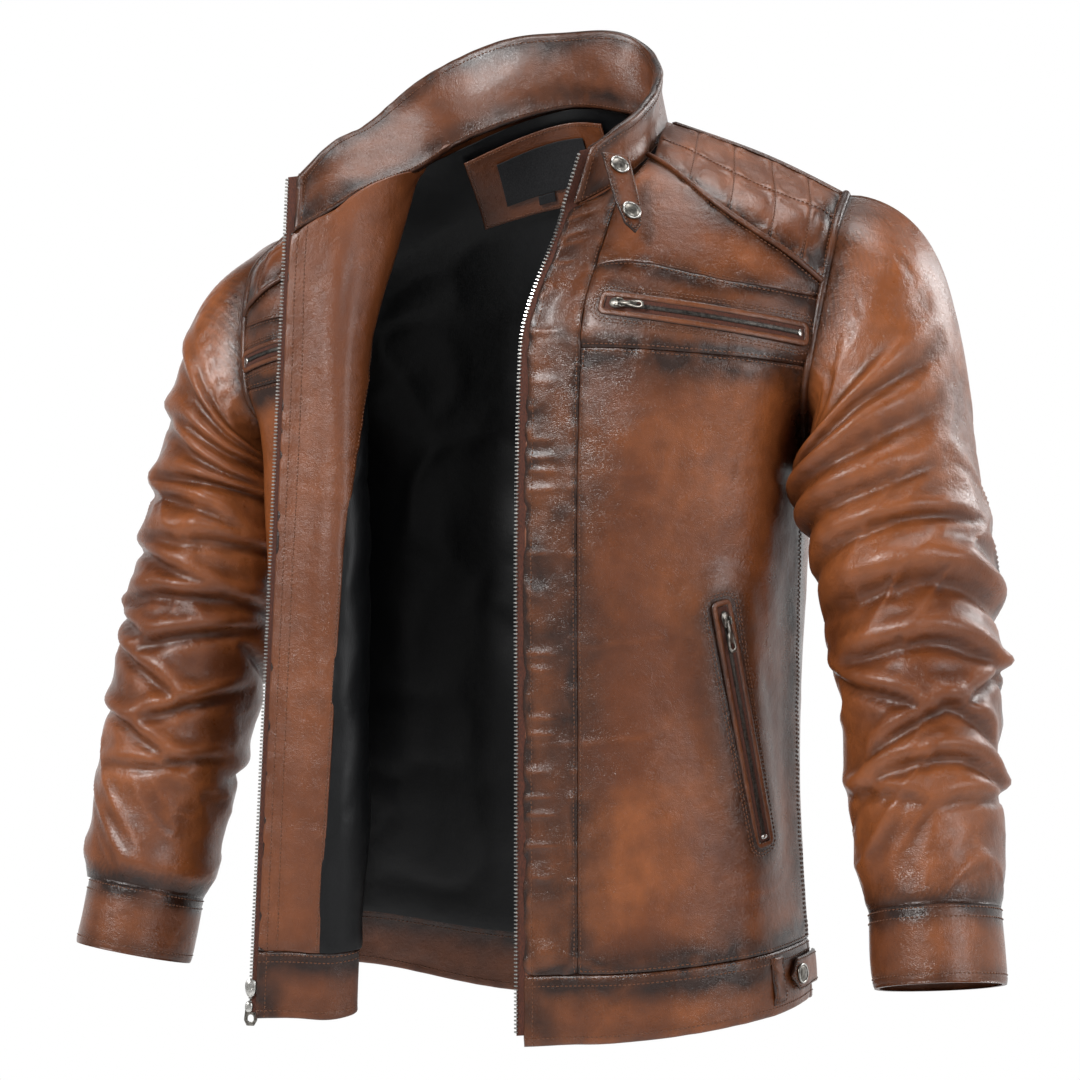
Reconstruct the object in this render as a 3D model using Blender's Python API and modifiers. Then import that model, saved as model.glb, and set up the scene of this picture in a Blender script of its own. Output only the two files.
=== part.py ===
"""Men's leather riding jacket, hung open as if on a body.

Metres, +Z up, the wearer faces -Y and the wearer's left is +X. The jacket is laid out
with the front hem at height 0 and the finished model is then lowered so that its origin
is the hanger point inside the back of the neck.
"""
import bpy
import bmesh
import numpy as np
from math import cos, sin, radians, pi, atan2
from mathutils import Matrix, Vector

# ---------------------------------------------------------------- driving dimensions
HANGER = Vector((0, 0.050, 0.668))      # hanger point inside the back neck, from the front hem
LEATHER = 0.0016                        # thickness of one leather layer
LINING = 0.0010                         # thickness of the lining cloth
LAYER_GAP = 0.0038                      # air between the outer leather and the inner layers
HEM_THICK = 0.0044                      # folded hem and cuff bands
TAPE = 0.0007                           # zip tape thickness
HEM_V = 0.072                           # seam above the hem band, in pattern height
BAND_V = (0.700, 0.775)                 # lower and upper seam of the chest band
PLACKET_U = 0.84                        # seam of the placket strip, in pattern width
EDGE_U = 0.964                          # leather edge beside the zip
SEAM_U = 0.005                          # half gap at a seam, across the pattern
SEAM_V = 0.0016                         # half gap at a seam, up the pattern
SWING_YAW = radians(24)                 # heading of the opened front strip
CHEST_ZIP_V = 0.736                     # height of the chest pocket zips
COLLAR_LEATHER_GAP = 0.0030             # distance from collar outer leather to inner

BROWN = (0.30, 0.105, 0.035)
INNER_BROWN = (0.33, 0.125, 0.045)
BLACK = (0.012, 0.012, 0.013)
TAPE_RED = (0.13, 0.045, 0.025)
NICKEL = (0.62, 0.61, 0.58)
GUNMETAL = (0.16, 0.145, 0.13)

# ---------------------------------------------------------------- scene and materials
for old in list(bpy.data.objects):
    bpy.data.objects.remove(old, do_unlink=True)

jacket = bpy.data.collections.new("Riding_Jacket")
bpy.context.scene.collection.children.link(jacket)


def material(name, colour, roughness, metallic=0.0):
    made = bpy.data.materials.new(name)
    made.use_nodes = True
    shader = made.node_tree.nodes["Principled BSDF"]
    shader.inputs["Base Color"].default_value = (*colour, 1)
    shader.inputs["Roughness"].default_value = roughness
    shader.inputs["Metallic"].default_value = metallic
    return made


MATERIALS = {
    "leather": material("leather", BROWN, 0.42),
    "leather_inner": material("leather_inner", INNER_BROWN, 0.45),
    "lining": material("lining", BLACK, 0.7),
    "label": material("label", BLACK, 0.6),
    "tape": material("tape", TAPE_RED, 0.8),
    "nickel": material("nickel", NICKEL, 0.25, 1.0),
    "gunmetal": material("gunmetal", GUNMETAL, 0.35, 1.0),
}

base = bpy.data.objects.new("jacket_base", None)
jacket.objects.link(base)
base.location = -HANGER


def add_object(name, mesh, kind, parent=base):
    made = bpy.data.objects.new(name, mesh)
    mesh.materials.append(MATERIALS[kind])
    jacket.objects.link(made)
    made.parent = parent
    return made


def pivot(name, frame):
    """An empty on a joint axis: its columns are across, along, outward and the point."""
    made = bpy.data.objects.new(name, None)
    jacket.objects.link(made)
    made.parent = base
    made.matrix_local = frame
    return made


# ---------------------------------------------------------------- smooth surfaces
def spline_weights(knots, places):
    """Natural cubic spline: row i holds each knot's weight at places[i]."""
    knots = np.asarray(knots, float)
    places = np.asarray(places, float)
    count = len(knots)
    step = np.diff(knots)
    system = np.zeros((count, count))
    right = np.zeros((count, count))
    system[0, 0] = system[-1, -1] = 1
    for i in range(1, count - 1):
        system[i, i - 1:i + 2] = step[i - 1], 2 * (step[i - 1] + step[i]), step[i]
        right[i, i - 1:i + 2] = 6 / step[i - 1], -6 / step[i - 1] - 6 / step[i], 6 / step[i]
    bend = np.linalg.solve(system, right)
    cell = np.clip(np.searchsorted(knots, places, side="right") - 1, 0, count - 2)
    after = (places - knots[cell]) / step[cell]
    before = 1 - after
    weights = np.zeros((len(places), count))
    rows = np.arange(len(places))
    weights[rows, cell] += before
    weights[rows, cell + 1] += after
    square = step[cell][:, None] ** 2 / 6
    weights += (before**3 - before)[:, None] * square * bend[cell]
    weights += (after**3 - after)[:, None] * square * bend[cell + 1]
    return weights


def monotone(knots, values, places):
    """Cubic through values (place, knot, axis) that never swings past its neighbours."""
    step = np.diff(knots)[None, :, None]
    slope = np.diff(values, axis=1) / step
    before, after = slope[:, :-1], slope[:, 1:]
    same = before * after > 0
    middle = np.where(same, 2 * before * after / np.where(same, before + after, 1), 0)
    tangent = np.concatenate([slope[:, :1], middle, slope[:, -1:]], axis=1)
    cell = np.clip(np.searchsorted(knots, places, side="right") - 1, 0, len(knots) - 2)
    row = np.arange(len(places))
    width = (knots[cell + 1] - knots[cell])[:, None]
    t = (places - knots[cell])[:, None] / width
    start, end = values[row, cell], values[row, cell + 1]
    leave, arrive = tangent[row, cell] * width, tangent[row, cell + 1] * width
    rise = 3 * t**2 - 2 * t**3
    return (start * (1 - rise) + end * rise
            + leave * (t**3 - 2 * t**2 + t) + arrive * (t**3 - t**2))


class Sheet:
    """A smooth surface through rows of points; u runs along a row and v up the rows."""

    def __init__(self, columns, rows, points, outward):
        self.columns, self.rows = columns, rows
        self.points = np.array(points, float)
        self.outward = outward

    def at(self, u, v):
        u, v = np.broadcast_arrays(np.asarray(u, float), np.asarray(v, float))
        across = spline_weights(self.columns, u.ravel())
        rows = np.einsum("ni,jic->njc", across, self.points)
        return monotone(np.array(self.rows, float), rows, v.ravel()).reshape(*u.shape, 3)

    def normal(self, u, v, step=0.002):
        u, v = np.broadcast_arrays(np.asarray(u, float), np.asarray(v, float))
        along = self.at(np.minimum(u + step, 1), v) - self.at(np.maximum(u - step, 0), v)
        upward = self.at(u, np.minimum(v + step, 1)) - self.at(u, np.maximum(v - step, 0))
        found = self.outward * np.cross(along, upward)
        return found / np.linalg.norm(found, axis=-1, keepdims=True)


def swung(right, front, height):
    """A point of the opened strip: its place to the right and to the front of its heading."""
    return (right * cos(SWING_YAW) + front * sin(SWING_YAW),
            right * sin(SWING_YAW) - front * cos(SWING_YAW), height)


def zip_line(height):
    """The straight front edge of the opened right front, from hem to collar top."""
    return swung(-0.2083 + 0.0425 * height, 0.026 - 0.020 * height, height)


def swung_row(heights, *places):
    return [swung(right, front, height) for height, (right, front) in zip(heights, places)]


ROWS = (0, 0.30, 0.55, 0.70, 0.85, 1)
SHOULDER_TIP = (0.224, 0.020, 0.583)
SIDE_NECK = (0.091, 0.031, 0.648)
ARMPIT = (0.198, 0.005, 0.392)

LEFT_FRONT = Sheet((0, 0.28, 0.56, 0.84, 1), ROWS, [
    [(0.203, 0.010, 0.023), (0.186, -0.060, 0.018), (0.138, -0.101, 0.010),
     (0.080, -0.119, 0.003), (0.037, -0.1235, -0.001)],
    [(0.193, 0.010, 0.20), (0.178, -0.060, 0.20), (0.135, -0.102, 0.20),
     (0.081, -0.122, 0.20), (0.038, -0.1255, 0.20)],
    [ARMPIT, (0.190, -0.066, 0.378), (0.144, -0.110, 0.372),
     (0.084, -0.130, 0.37), (0.041, -0.1315, 0.37)],
    [(0.2175, -0.050, 0.456), (0.192, -0.086, 0.459), (0.146, -0.114, 0.463),
     (0.086, -0.129, 0.467), (0.043, -0.130, 0.468)],
    [(0.228, -0.026, 0.545), (0.198, -0.050, 0.553), (0.146, -0.066, 0.568),
     (0.092, -0.072, 0.580), (0.061, -0.098, 0.567)],
    [SHOULDER_TIP, (0.173, 0.024, 0.612), (0.122, 0.028, 0.636),
     (0.070, 0.034, 0.657), (0.040, 0.036, 0.668)],
], -1)

RIGHT_FRONT = Sheet((0, 0.20, 0.38, 0.52, 0.60, 0.68, 0.84, 1), ROWS, [
    [(-0.203, 0.010, 0.023)] + swung_row((0.020, 0.012, 0.006, 0.003, 0, 0),
     (-0.200, -0.045), (-0.180, -0.005), (-0.145, 0.010), (-0.1315, 0.020),
     (-0.143, 0.030), (-0.172, 0.030)) + [zip_line(0)],
    [(-0.193, 0.010, 0.20)] + swung_row((0.20,) * 6,
     (-0.192, -0.045), (-0.175, -0.005), (-0.143, 0.008), (-0.131, 0.018),
     (-0.141, 0.028), (-0.164, 0.027)) + [zip_line(0.20)],
    [(-ARMPIT[0], ARMPIT[1], ARMPIT[2])] + swung_row((0.378, 0.374, 0.37, 0.37, 0.37, 0.37),
     (-0.205, -0.040), (-0.180, -0.008), (-0.145, 0.003), (-0.1315, 0.013),
     (-0.140, 0.023), (-0.159, 0.023)) + [zip_line(0.37)],
    [(-0.2175, -0.050, 0.456)] + swung_row((0.459, 0.463, 0.465, 0.467, 0.467, 0.467),
     (-0.206, -0.026), (-0.178, -0.010), (-0.145, -0.003), (-0.130, 0.007),
     (-0.137, 0.018), (-0.156, 0.021)) + [zip_line(0.467)],
    [(-0.228, -0.026, 0.545)] + swung_row((0.552, 0.560, 0.572, 0.577, 0.580, 0.578),
     (-0.205, -0.048), (-0.168, -0.042), (-0.124, -0.033), (-0.104, -0.022),
     (-0.112, -0.007), (-0.144, 0.009)) + [zip_line(0.568)],
    [(-SHOULDER_TIP[0], SHOULDER_TIP[1], SHOULDER_TIP[2]), (-0.188, 0.023, 0.603),
     (-0.155, 0.026, 0.620), (-0.129, 0.028, 0.632), (-0.114, 0.029, 0.639),
     (-0.099, 0.030, 0.644), (-0.070, 0.034, 0.657), (-0.040, 0.036, 0.668)],
], 1)


def mirrored(row):
    """A row of back points from the left side to the centre, carried on to the right side."""
    return row + [(-x, y, z) for x, y, z in reversed(row[:-1])]


BACK = Sheet((0, 0.17, 0.34, 0.5, 0.66, 0.83, 1), ROWS, [
    mirrored([(0.203, 0.010, 0.023), (0.170, 0.086, 0.008), (0.090, 0.120, -0.008),
              (0, 0.130, -0.012)]),
    mirrored([(0.193, 0.010, 0.20), (0.162, 0.080, 0.20), (0.088, 0.111, 0.20),
              (0, 0.118, 0.20)]),
    mirrored([ARMPIT, (0.172, 0.090, 0.386), (0.094, 0.126, 0.39), (0, 0.134, 0.39)]),
    mirrored([(0.207, 0.052, 0.456), (0.174, 0.098, 0.470), (0.094, 0.126, 0.480),
              (0, 0.131, 0.480)]),
    mirrored([(0.222, 0.058, 0.528), (0.176, 0.086, 0.556), (0.095, 0.106, 0.580),
              (0, 0.111, 0.588)]),
    mirrored([SHOULDER_TIP, (0.160, 0.025, 0.618), SIDE_NECK, (0, 0.064, 0.680)]),
], 1)


# ---------------------------------------------------------------- pattern pieces
def along(points, places):
    """Points at even spacing along a drawn line of the pattern."""
    points = np.array(points, float)
    run = np.r_[0, np.cumsum(np.linalg.norm(np.diff(points, axis=0), axis=1))]
    return np.stack([np.interp(places * run[-1], run, points[:, k]) for k in range(2)], axis=1)


def region(bottom, top, across, upward, left=None, right=None):
    """A four-sided area of the pattern, as grids of u and v, from its boundary lines."""
    s = np.linspace(0, 1, across + 1)
    t = np.linspace(0, 1, upward + 1)
    low, high = along(bottom, s), along(top, s)
    start = along(left or [bottom[0], top[0]], t)
    end = along(right or [bottom[-1], top[-1]], t)
    s = s[None, :, None]
    t = t[:, None, None]
    grid = (1 - t) * low[None] + t * high[None] + (1 - s) * start[:, None] + s * end[:, None]
    grid = grid - (1 - s) * (1 - t) * low[0] - s * (1 - t) * low[-1]
    grid = grid - (1 - s) * t * high[0] - s * t * high[-1]
    return grid[..., 0], grid[..., 1]


def grid_faces(rows, columns, flip=False, closed=False):
    faces = []
    for j in range(rows - 1):
        for i in range(columns if closed else columns - 1):
            after = (i + 1) % columns
            face = (j * columns + i, j * columns + after,
                    (j + 1) * columns + after, (j + 1) * columns + i)
            faces.append(face[::-1] if flip else face)
    return faces


def shell(name, grid, kind, thickness, flip=False, closed=False, parent=base):
    """An open grid of points made solid: the thickness goes inward from the given points."""
    rows, columns = grid.shape[:2]
    mesh = bpy.data.meshes.new(name)
    mesh.from_pydata(grid.reshape(-1, 3).tolist(), [], grid_faces(rows, columns, flip, closed))
    made = add_object(name, mesh, kind, parent)
    solid = made.modifiers.new("Thickness", "SOLIDIFY")
    solid.thickness = thickness
    solid.offset = -1
    return made


def panel(name, sheet, area, kind, thickness, depth=0.0):
    """One pattern piece of a sheet, its outer face the given depth inside the sheet."""
    u, v = area
    grid = sheet.at(u, v) - sheet.normal(u, v) * depth
    return shell(name, grid, kind, thickness, flip=sheet.outward < 0)


NECK = [(0.735, 1.0), (0.765, 0.955), (0.802, 0.893), (0.875, 0.856), (EDGE_U, 0.846)]
SHOULDER_V = 0.986                       # panels stop this short of the shoulder ridge


def yoke_seam(first, last, dv):
    """The seam from armhole to neck, as pattern points, moved by a half gap."""
    return [(u, 0.790 + 0.10 * u + 0.055 * u**2 + dv) for u in np.linspace(first, last, 6)]


INNER_DEPTH = LEATHER + LAYER_GAP
PATCH_DEPTH = INNER_DEPTH + LINING + 0.0045     # leather patch, clear of the lining
LABEL_DEPTH = PATCH_DEPTH + LEATHER + 0.0025    # woven label, clear of the patch
LABEL_THICK = 0.0006


def shifted(points, du, dv):
    return [(u + du, v + dv) for u, v in points]


def front_panels(side, sheet):
    first, last, hem = SEAM_U, EDGE_U, HEM_V + SEAM_V
    seam = PLACKET_U - SEAM_U
    low, high = BAND_V
    panel(f"hem_band_{side}", sheet, region([(first, 0), (last, 0)],
          [(first, HEM_V - SEAM_V), (last, HEM_V - SEAM_V)], 12, 1), "leather", HEM_THICK)
    panel(f"front_panel_{side}", sheet, region([(first, hem), (seam, hem)],
          [(first, low - SEAM_V), (seam, low - SEAM_V)], 15, 8), "leather", LEATHER)
    panel(f"chest_band_{side}", sheet, region([(first, low + SEAM_V), (seam, low + SEAM_V)],
          [(first, high - SEAM_V), (seam, high - SEAM_V)], 15, 2), "leather", LEATHER)
    panel(f"upper_front_{side}", sheet, region(
          [(0.06, high + SEAM_V), (seam - 0.006, high + SEAM_V)],
          yoke_seam(0.06, 0.785, -0.003) + [(seam - 0.006, 0.862)], 12, 3), "leather", LEATHER)
    panel(f"shoulder_panel_{side}", sheet, region(yoke_seam(SEAM_U, 0.780, 0.003),
          [(SEAM_U, SHOULDER_V), (0.725, SHOULDER_V)], 8, 5), "leather", LEATHER)
    panel(f"placket_{side}", sheet, region([(PLACKET_U + SEAM_U, hem), (last, hem)],
          [(PLACKET_U + SEAM_U, 0.862), (last, 0.842)], 3, 16), "leather", LEATHER)
    facing_edge = [(0.765, hem), (0.70, 0.50), (0.58, 0.75), (0.60, 0.955)]
    panel(f"facing_{side}", sheet, region([facing_edge[0], (last, hem)],
          [(0.60, 0.955), (0.70, 0.950), (0.775, 0.915), (0.86, 0.858), (last, 0.844)],
          7, 14, left=facing_edge), "leather_inner", LEATHER, INNER_DEPTH)
    panel(f"lining_front_{side}", sheet, region([(0.012, hem), (0.757, hem)],
          [(0.012, 0.955), (0.592, 0.955)], 13, 12,
          right=shifted(facing_edge, -0.008, 0)), "lining", LINING, INNER_DEPTH)


front_panels("left", LEFT_FRONT)
front_panels("right", RIGHT_FRONT)

panel("back_hem_band", BACK, region([(0.003, 0), (0.997, 0)],
      [(0.003, HEM_V - SEAM_V), (0.997, HEM_V - SEAM_V)], 16, 1), "leather", HEM_THICK)
panel("back_panel", BACK, region([(0.003, HEM_V + SEAM_V), (0.997, HEM_V + SEAM_V)],
      [(0.003, BAND_V[1] - SEAM_V), (0.997, BAND_V[1] - SEAM_V)], 16, 9), "leather", LEATHER)
panel("back_yoke", BACK, region([(0.003, BAND_V[1] + SEAM_V), (0.997, BAND_V[1] + SEAM_V)],
      [(0.003, SHOULDER_V), (0.335, SHOULDER_V), (0.365, 0.996), (0.635, 0.996),
       (0.665, SHOULDER_V), (0.997, SHOULDER_V)], 16, 4), "leather", LEATHER)
panel("lining_back", BACK, region([(0.014, HEM_V + SEAM_V), (0.986, HEM_V + SEAM_V)],
      [(0.014, 0.974), (0.986, 0.974)], 16, 13), "lining", LINING, INNER_DEPTH)
panel("neck_patch", BACK, region([(0.455, 0.872), (0.65, 0.872)], [(0.455, 0.968), (0.65, 0.968)],
      4, 4), "leather_inner", LEATHER, PATCH_DEPTH)
panel("blank_label", BACK, region([(0.490, 0.892), (0.615, 0.892)], [(0.490, 0.948), (0.615, 0.948)],
      4, 4), "label", LABEL_THICK, LABEL_DEPTH)

# ---------------------------------------------------------------- collar
def neck_points(sheet):
    """The neckline of one front, side neck first."""
    drawn = np.array(NECK)
    return sheet.at(drawn[:, 0], drawn[:, 1])


def collar_rows():
    """Collar base along the neckline, left front to right front, and its top edge."""
    left = neck_points(LEFT_FRONT)[::-1]
    right = neck_points(RIGHT_FRONT)
    back = BACK.at(np.array([0.42, 0.5, 0.58]), 1.0)
    foot = np.vstack([left, back, right])
    foot[:, 2] += 0.0022
    top_right = Vector(zip_line(0.609)) + Vector(swung(0.007, 0, 0))
    top = np.array([
        (0.0805, -0.0925, 0.6075), (0.096, -0.078, 0.622), (0.104, -0.050, 0.640),
        (0.098, -0.008, 0.672), (0.078, 0.034, 0.698), (0.044, 0.050, 0.721),
        (-0.002, 0.054, 0.727), (-0.060, 0.052, 0.7235),
        (-0.120, 0.032, 0.692), (-0.136, 0.004, 0.665), (-0.147, -0.024, 0.646),
        (-0.152, -0.056, 0.629), tuple(top_right)])
    return foot, top


COLLAR_FOOT, COLLAR_TOP = collar_rows()


def collar_surface(count, levels):
    """Grid of the collar from its foot seam up to its top edge, left front to right front."""
    steps = np.linalg.norm(np.diff(COLLAR_FOOT, axis=0), axis=1)
    knots = np.r_[0, np.cumsum(steps)] / steps.sum()
    weights = spline_weights(knots, np.linspace(0, 1, count))
    low = weights @ COLLAR_FOOT
    high = weights @ COLLAR_TOP
    rise = np.linspace(0, 1, levels)[:, None, None]
    return low + (high - low) * rise


def collar_shell(name, kind, depth):
    grid = collar_surface(28, 4)
    around = np.gradient(grid, axis=1)
    upward = np.gradient(grid, axis=0)
    outward = np.cross(around, upward)
    outward = outward / np.linalg.norm(outward, axis=-1, keepdims=True)
    return shell(name, grid - outward * depth, kind, LEATHER)


collar_shell("collar_outer", "leather", 0)
collar_shell("collar_inner", "leather_inner", LEATHER + COLLAR_LEATHER_GAP)

# ---------------------------------------------------------------- sleeves
RING = 20
HEAD_END = Vector((0.2630, 0.002, 0.378))
ARM_LINE = (HEAD_END, Vector((0.2735, -0.008, 0.327)), Vector((0.289, -0.028, 0.22)),
            Vector((0.305, -0.053, 0.098)))
ARM_SIZE = ((0.0585, 0.068), (0.0575, 0.064), (0.0510, 0.056), (0.0430, 0.047))
CUFF_END = Vector((0.311, -0.063, 0.050))
CUFF_SIZE = (0.0430, 0.047)
SHOULDER_PIVOT = (0.206, 0.008, 0.500)     # where a sleeve swings from
RIGHT_DROP = 0.018                       # the right sleeve hangs this much lower


def arm_axes(direction):
    """Across and forward axes of a sleeve ring whose arm runs along the direction."""
    down = direction.normalized()
    forward = Vector((0, -1, 0))
    forward = (forward - down * forward.dot(down)).normalized()
    return forward.cross(down).normalized(), forward


def sleeve_ring(centre, direction, half):
    """Ring points from the top outer side, forward and round."""
    across, forward = arm_axes(direction)
    ring = []
    for i in range(RING):
        turn = 2 * pi * i / RING
        ring.append(centre + across * half[0] * cos(turn) + forward * half[1] * sin(turn))
    return ring


def armhole_ring():
    """The armhole seam of the left side, shoulder tip first, then down the front."""
    front_v = np.linspace(1, 0.55, RING // 2 + 1)
    back_v = np.linspace(0.55, 1, RING // 2 + 1)[1:-1]
    front = LEFT_FRONT.at(0, front_v)
    rear = BACK.at(0, back_v)
    return [Vector(p) + Vector((0.0026, 0, -0.0004)) for p in np.vstack([front, rear])]


def sleeve_parts(side, mirror):
    lowered = RIGHT_DROP if mirror < 0 else 0.0
    line = [point + Vector((0, 0, -lowered * share))
            for point, share in zip(ARM_LINE, (0, 0.4, 0.7, 1))]
    end = CUFF_END + Vector((0, 0, -lowered))
    directions = [line[1] - line[0], line[2] - line[0], line[3] - line[1], end - line[3]]
    rings = [sleeve_ring(p, d, s) for p, d, s in zip(line, directions, ARM_SIZE)]
    start = armhole_ring()
    head = []
    for t in np.linspace(0, 1, 7):
        h00, h10 = 2 * t**3 - 3 * t**2 + 1, t**3 - 2 * t**2 + t
        h01, h11 = -2 * t**3 + 3 * t**2, t**3 - t**2
        row = []
        for i in range(RING):
            a, b = start[i], rings[0][i]
            span = (b - a).length
            leave = Vector((1.0, 9.0 * a.y, -0.12)).normalized() * span * 1.15
            arrive = directions[0].normalized() * span * 1.1
            row.append(a * h00 + leave * h10 + b * h01 + arrive * h11)
        head.append(row)
    knots = np.array([0, 0.19, 0.57, 1.0])
    arm = np.array([[list(p) for p in ring] for ring in rings])
    arm = np.einsum("nj,jic->nic", spline_weights(knots, np.linspace(0.004, 0.996, 10)), arm)
    cuff = [sleeve_ring(line[3] + (end - line[3]) * f, directions[3], CUFF_SIZE)
            for f in (0.025, 1.0)]
    sign = np.array((mirror, 1, 1))
    home = Vector((mirror * SHOULDER_PIVOT[0], SHOULDER_PIVOT[1], SHOULDER_PIVOT[2]))
    hub = pivot(f"sleeve_{side}_pivot", Matrix.Translation(home))

    def made(name, rows, kind, thickness, parent):
        grid = np.array([[list(p) for p in row] for row in rows]) * sign
        if parent is not base:
            grid = grid - np.array(home)
        return shell(name, grid, kind, thickness, flip=mirror < 0, closed=True, parent=parent)

    made(f"sleeve_head_{side}", head, "leather", LEATHER, base)
    made(f"sleeve_{side}", arm, "leather", LEATHER, hub)
    made(f"cuff_{side}", cuff, "leather", HEM_THICK * 0.7, hub)


sleeve_parts("left", 1)
sleeve_parts("right", -1)


# ---------------------------------------------------------------- zips
ZIP_HALF = 0.0018                        # half width and half thickness of the teeth bars
ZIP_DEEP = 0.0013
TAPE_INNER, TAPE_OUTER = 0.0060, 0.0022  # tape reaches this far to and from the teeth line
MAIN_TOP = 0.606                         # height of the top of the main zip
MAIN_FOOT = 0.0125                       # bottom of the right teeth, above the retainer box
SLIDER_START = 0.0215                    # centre of the main slider when it rests on the box
PULL_THICK = 0.0012
NECK_HALF = 0.0013                       # half width of a pull's neck
NECK_TAIL = 0.0008                       # neck past its hinge, clear of the slider plate
EAR_IN, EAR_OUT = 0.0017, 0.0030         # lugs either side of a pull's neck


def strip(name, points, kind, thickness, parent=base, flip=False):
    """A thin strip: rows of points across, one row per station, made solid."""
    return shell(name, np.array([[list(p) for p in row] for row in points]), kind,
                 thickness, flip=flip, parent=parent)


def turned(across, along_it, outward, point):
    """A matrix whose axes are across, along and outward at the point."""
    made = Matrix((across, along_it, outward)).transposed().to_4x4()
    made.translation = point
    return made


def outline_object(name, loops, half_depth, kind, parent, frame):
    """A flat outline of one or more loops, extruded half_depth each way along local Z."""
    curve = bpy.data.curves.new(name, "CURVE")
    curve.dimensions = "2D"
    curve.fill_mode = "BOTH"
    curve.extrude = half_depth
    for loop in loops:
        spline = curve.splines.new("POLY")
        spline.points.add(len(loop) - 1)
        for point, (x, y) in zip(spline.points, loop):
            point.co = (x, y, 0, 1)
        spline.use_cyclic_u = True
    made = add_object(name, curve, kind, parent)
    made.matrix_local = frame
    return made


# the slider's channel section is drawn across and outward, then runs along the zip
SECTION_TURN = Matrix(((1, 0, 0, 0), (0, 0, -1, 0), (0, 1, 0, 0), (0, 0, 0, 1)))


def saddle_section(half, low, high, ear_top):
    """A pocket slider: a plate over the teeth with two lugs for the pull."""
    return [(-half, low), (half, low), (half, high), (EAR_OUT, high), (EAR_OUT, ear_top),
            (EAR_IN, ear_top), (EAR_IN, high), (-EAR_IN, high), (-EAR_IN, ear_top),
            (-EAR_OUT, ear_top), (-EAR_OUT, high), (-half, high)]


def hook_section(half, gap, plate, ear_top):
    """The main slider: two plates and the divider between them, open towards the tape."""
    top = gap + plate
    divider = ZIP_HALF + 0.0005
    return [(-half, -top), (half, -top), (half, -gap), (divider + 0.0016, -gap),
            (divider + 0.0016, gap), (half, gap), (half, top), (EAR_OUT, top),
            (EAR_OUT, ear_top), (EAR_IN, ear_top), (EAR_IN, top), (-EAR_IN, top),
            (-EAR_IN, ear_top), (-EAR_OUT, ear_top), (-EAR_OUT, top), (-half, top),
            (-half, gap), (divider, gap), (divider, -gap), (-half, -gap)]


def pull_outline(length, half_end):
    """A pull tab hanging along -Y from its hinge, with the window near its end."""
    shoulder = -0.36 * length
    window = [(-0.55 * half_end, -0.90 * length), (0.55 * half_end, -0.90 * length),
              (0.45 * half_end, -0.68 * length), (-0.45 * half_end, -0.68 * length)]
    edge = [(-NECK_HALF, NECK_TAIL), (-NECK_HALF, shoulder), (-0.72 * half_end, shoulder - 0.001),
            (-half_end, -length), (half_end, -length), (0.72 * half_end, shoulder - 0.001),
            (NECK_HALF, shoulder), (NECK_HALF, NECK_TAIL)]
    return [edge, window]


class Track:
    """A pocket zip's path: straight, or an arc when the cloth under it is round.

    It starts where its closed slider rests and runs the way the slider opens.
    """

    def __init__(self, first, middle, last, facing):
        self.start = first
        chord = last - first
        out = middle - first - chord * (middle - first).dot(chord) / chord.length_squared
        sagitta = out.length
        self.radius = chord.length**2 / 8 / sagitta + sagitta / 2
        self.centre = (first + last) / 2 + out.normalized() * (sagitta - self.radius)
        self.axis = (first - self.centre).cross(last - self.centre).normalized()
        half = (first - self.centre).angle(last - self.centre)
        self.length = self.radius * half
        spoke = (middle - self.centre).normalized()
        self.tilt = atan2(facing.dot(self.axis), facing.dot(spoke))

    def frame(self, distance):
        spoke = self.start - self.centre
        spoke.rotate(Matrix.Rotation(distance / self.radius, 3, self.axis))
        radial = spoke.normalized()
        travel = self.axis.cross(radial)
        outward = radial * cos(self.tilt) + self.axis * sin(self.tilt)
        return turned((-travel).cross(outward), -travel, outward, self.centre + spoke)

    def place(self, distance, across, height):
        return self.frame(distance) @ Vector((across, 0, height))


class Line(Track):
    def __init__(self, first, last, outward):
        self.start = first
        self.travel = (last - first).normalized()
        self.outward = (outward - self.travel * outward.dot(self.travel)).normalized()
        self.length = (last - first).length

    def frame(self, distance):
        return turned((-self.travel).cross(self.outward), -self.travel, self.outward,
                      self.start + self.travel * distance)


WELT_HALF, SLOT_HALF = 0.0085, 0.0042    # pocket welt and its slot, half widths
WELT_END = 0.0075                        # welt past each end of the zip
WELT_THICK = 0.0014
POCKET_SLIDER = (0.0040, 0.0006, 0.0018, 0.0042)
HINGE_HEIGHT = 0.0031                    # pull hinge above the zip's face
SLIDER_HALF_LENGTH = 0.0055


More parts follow.
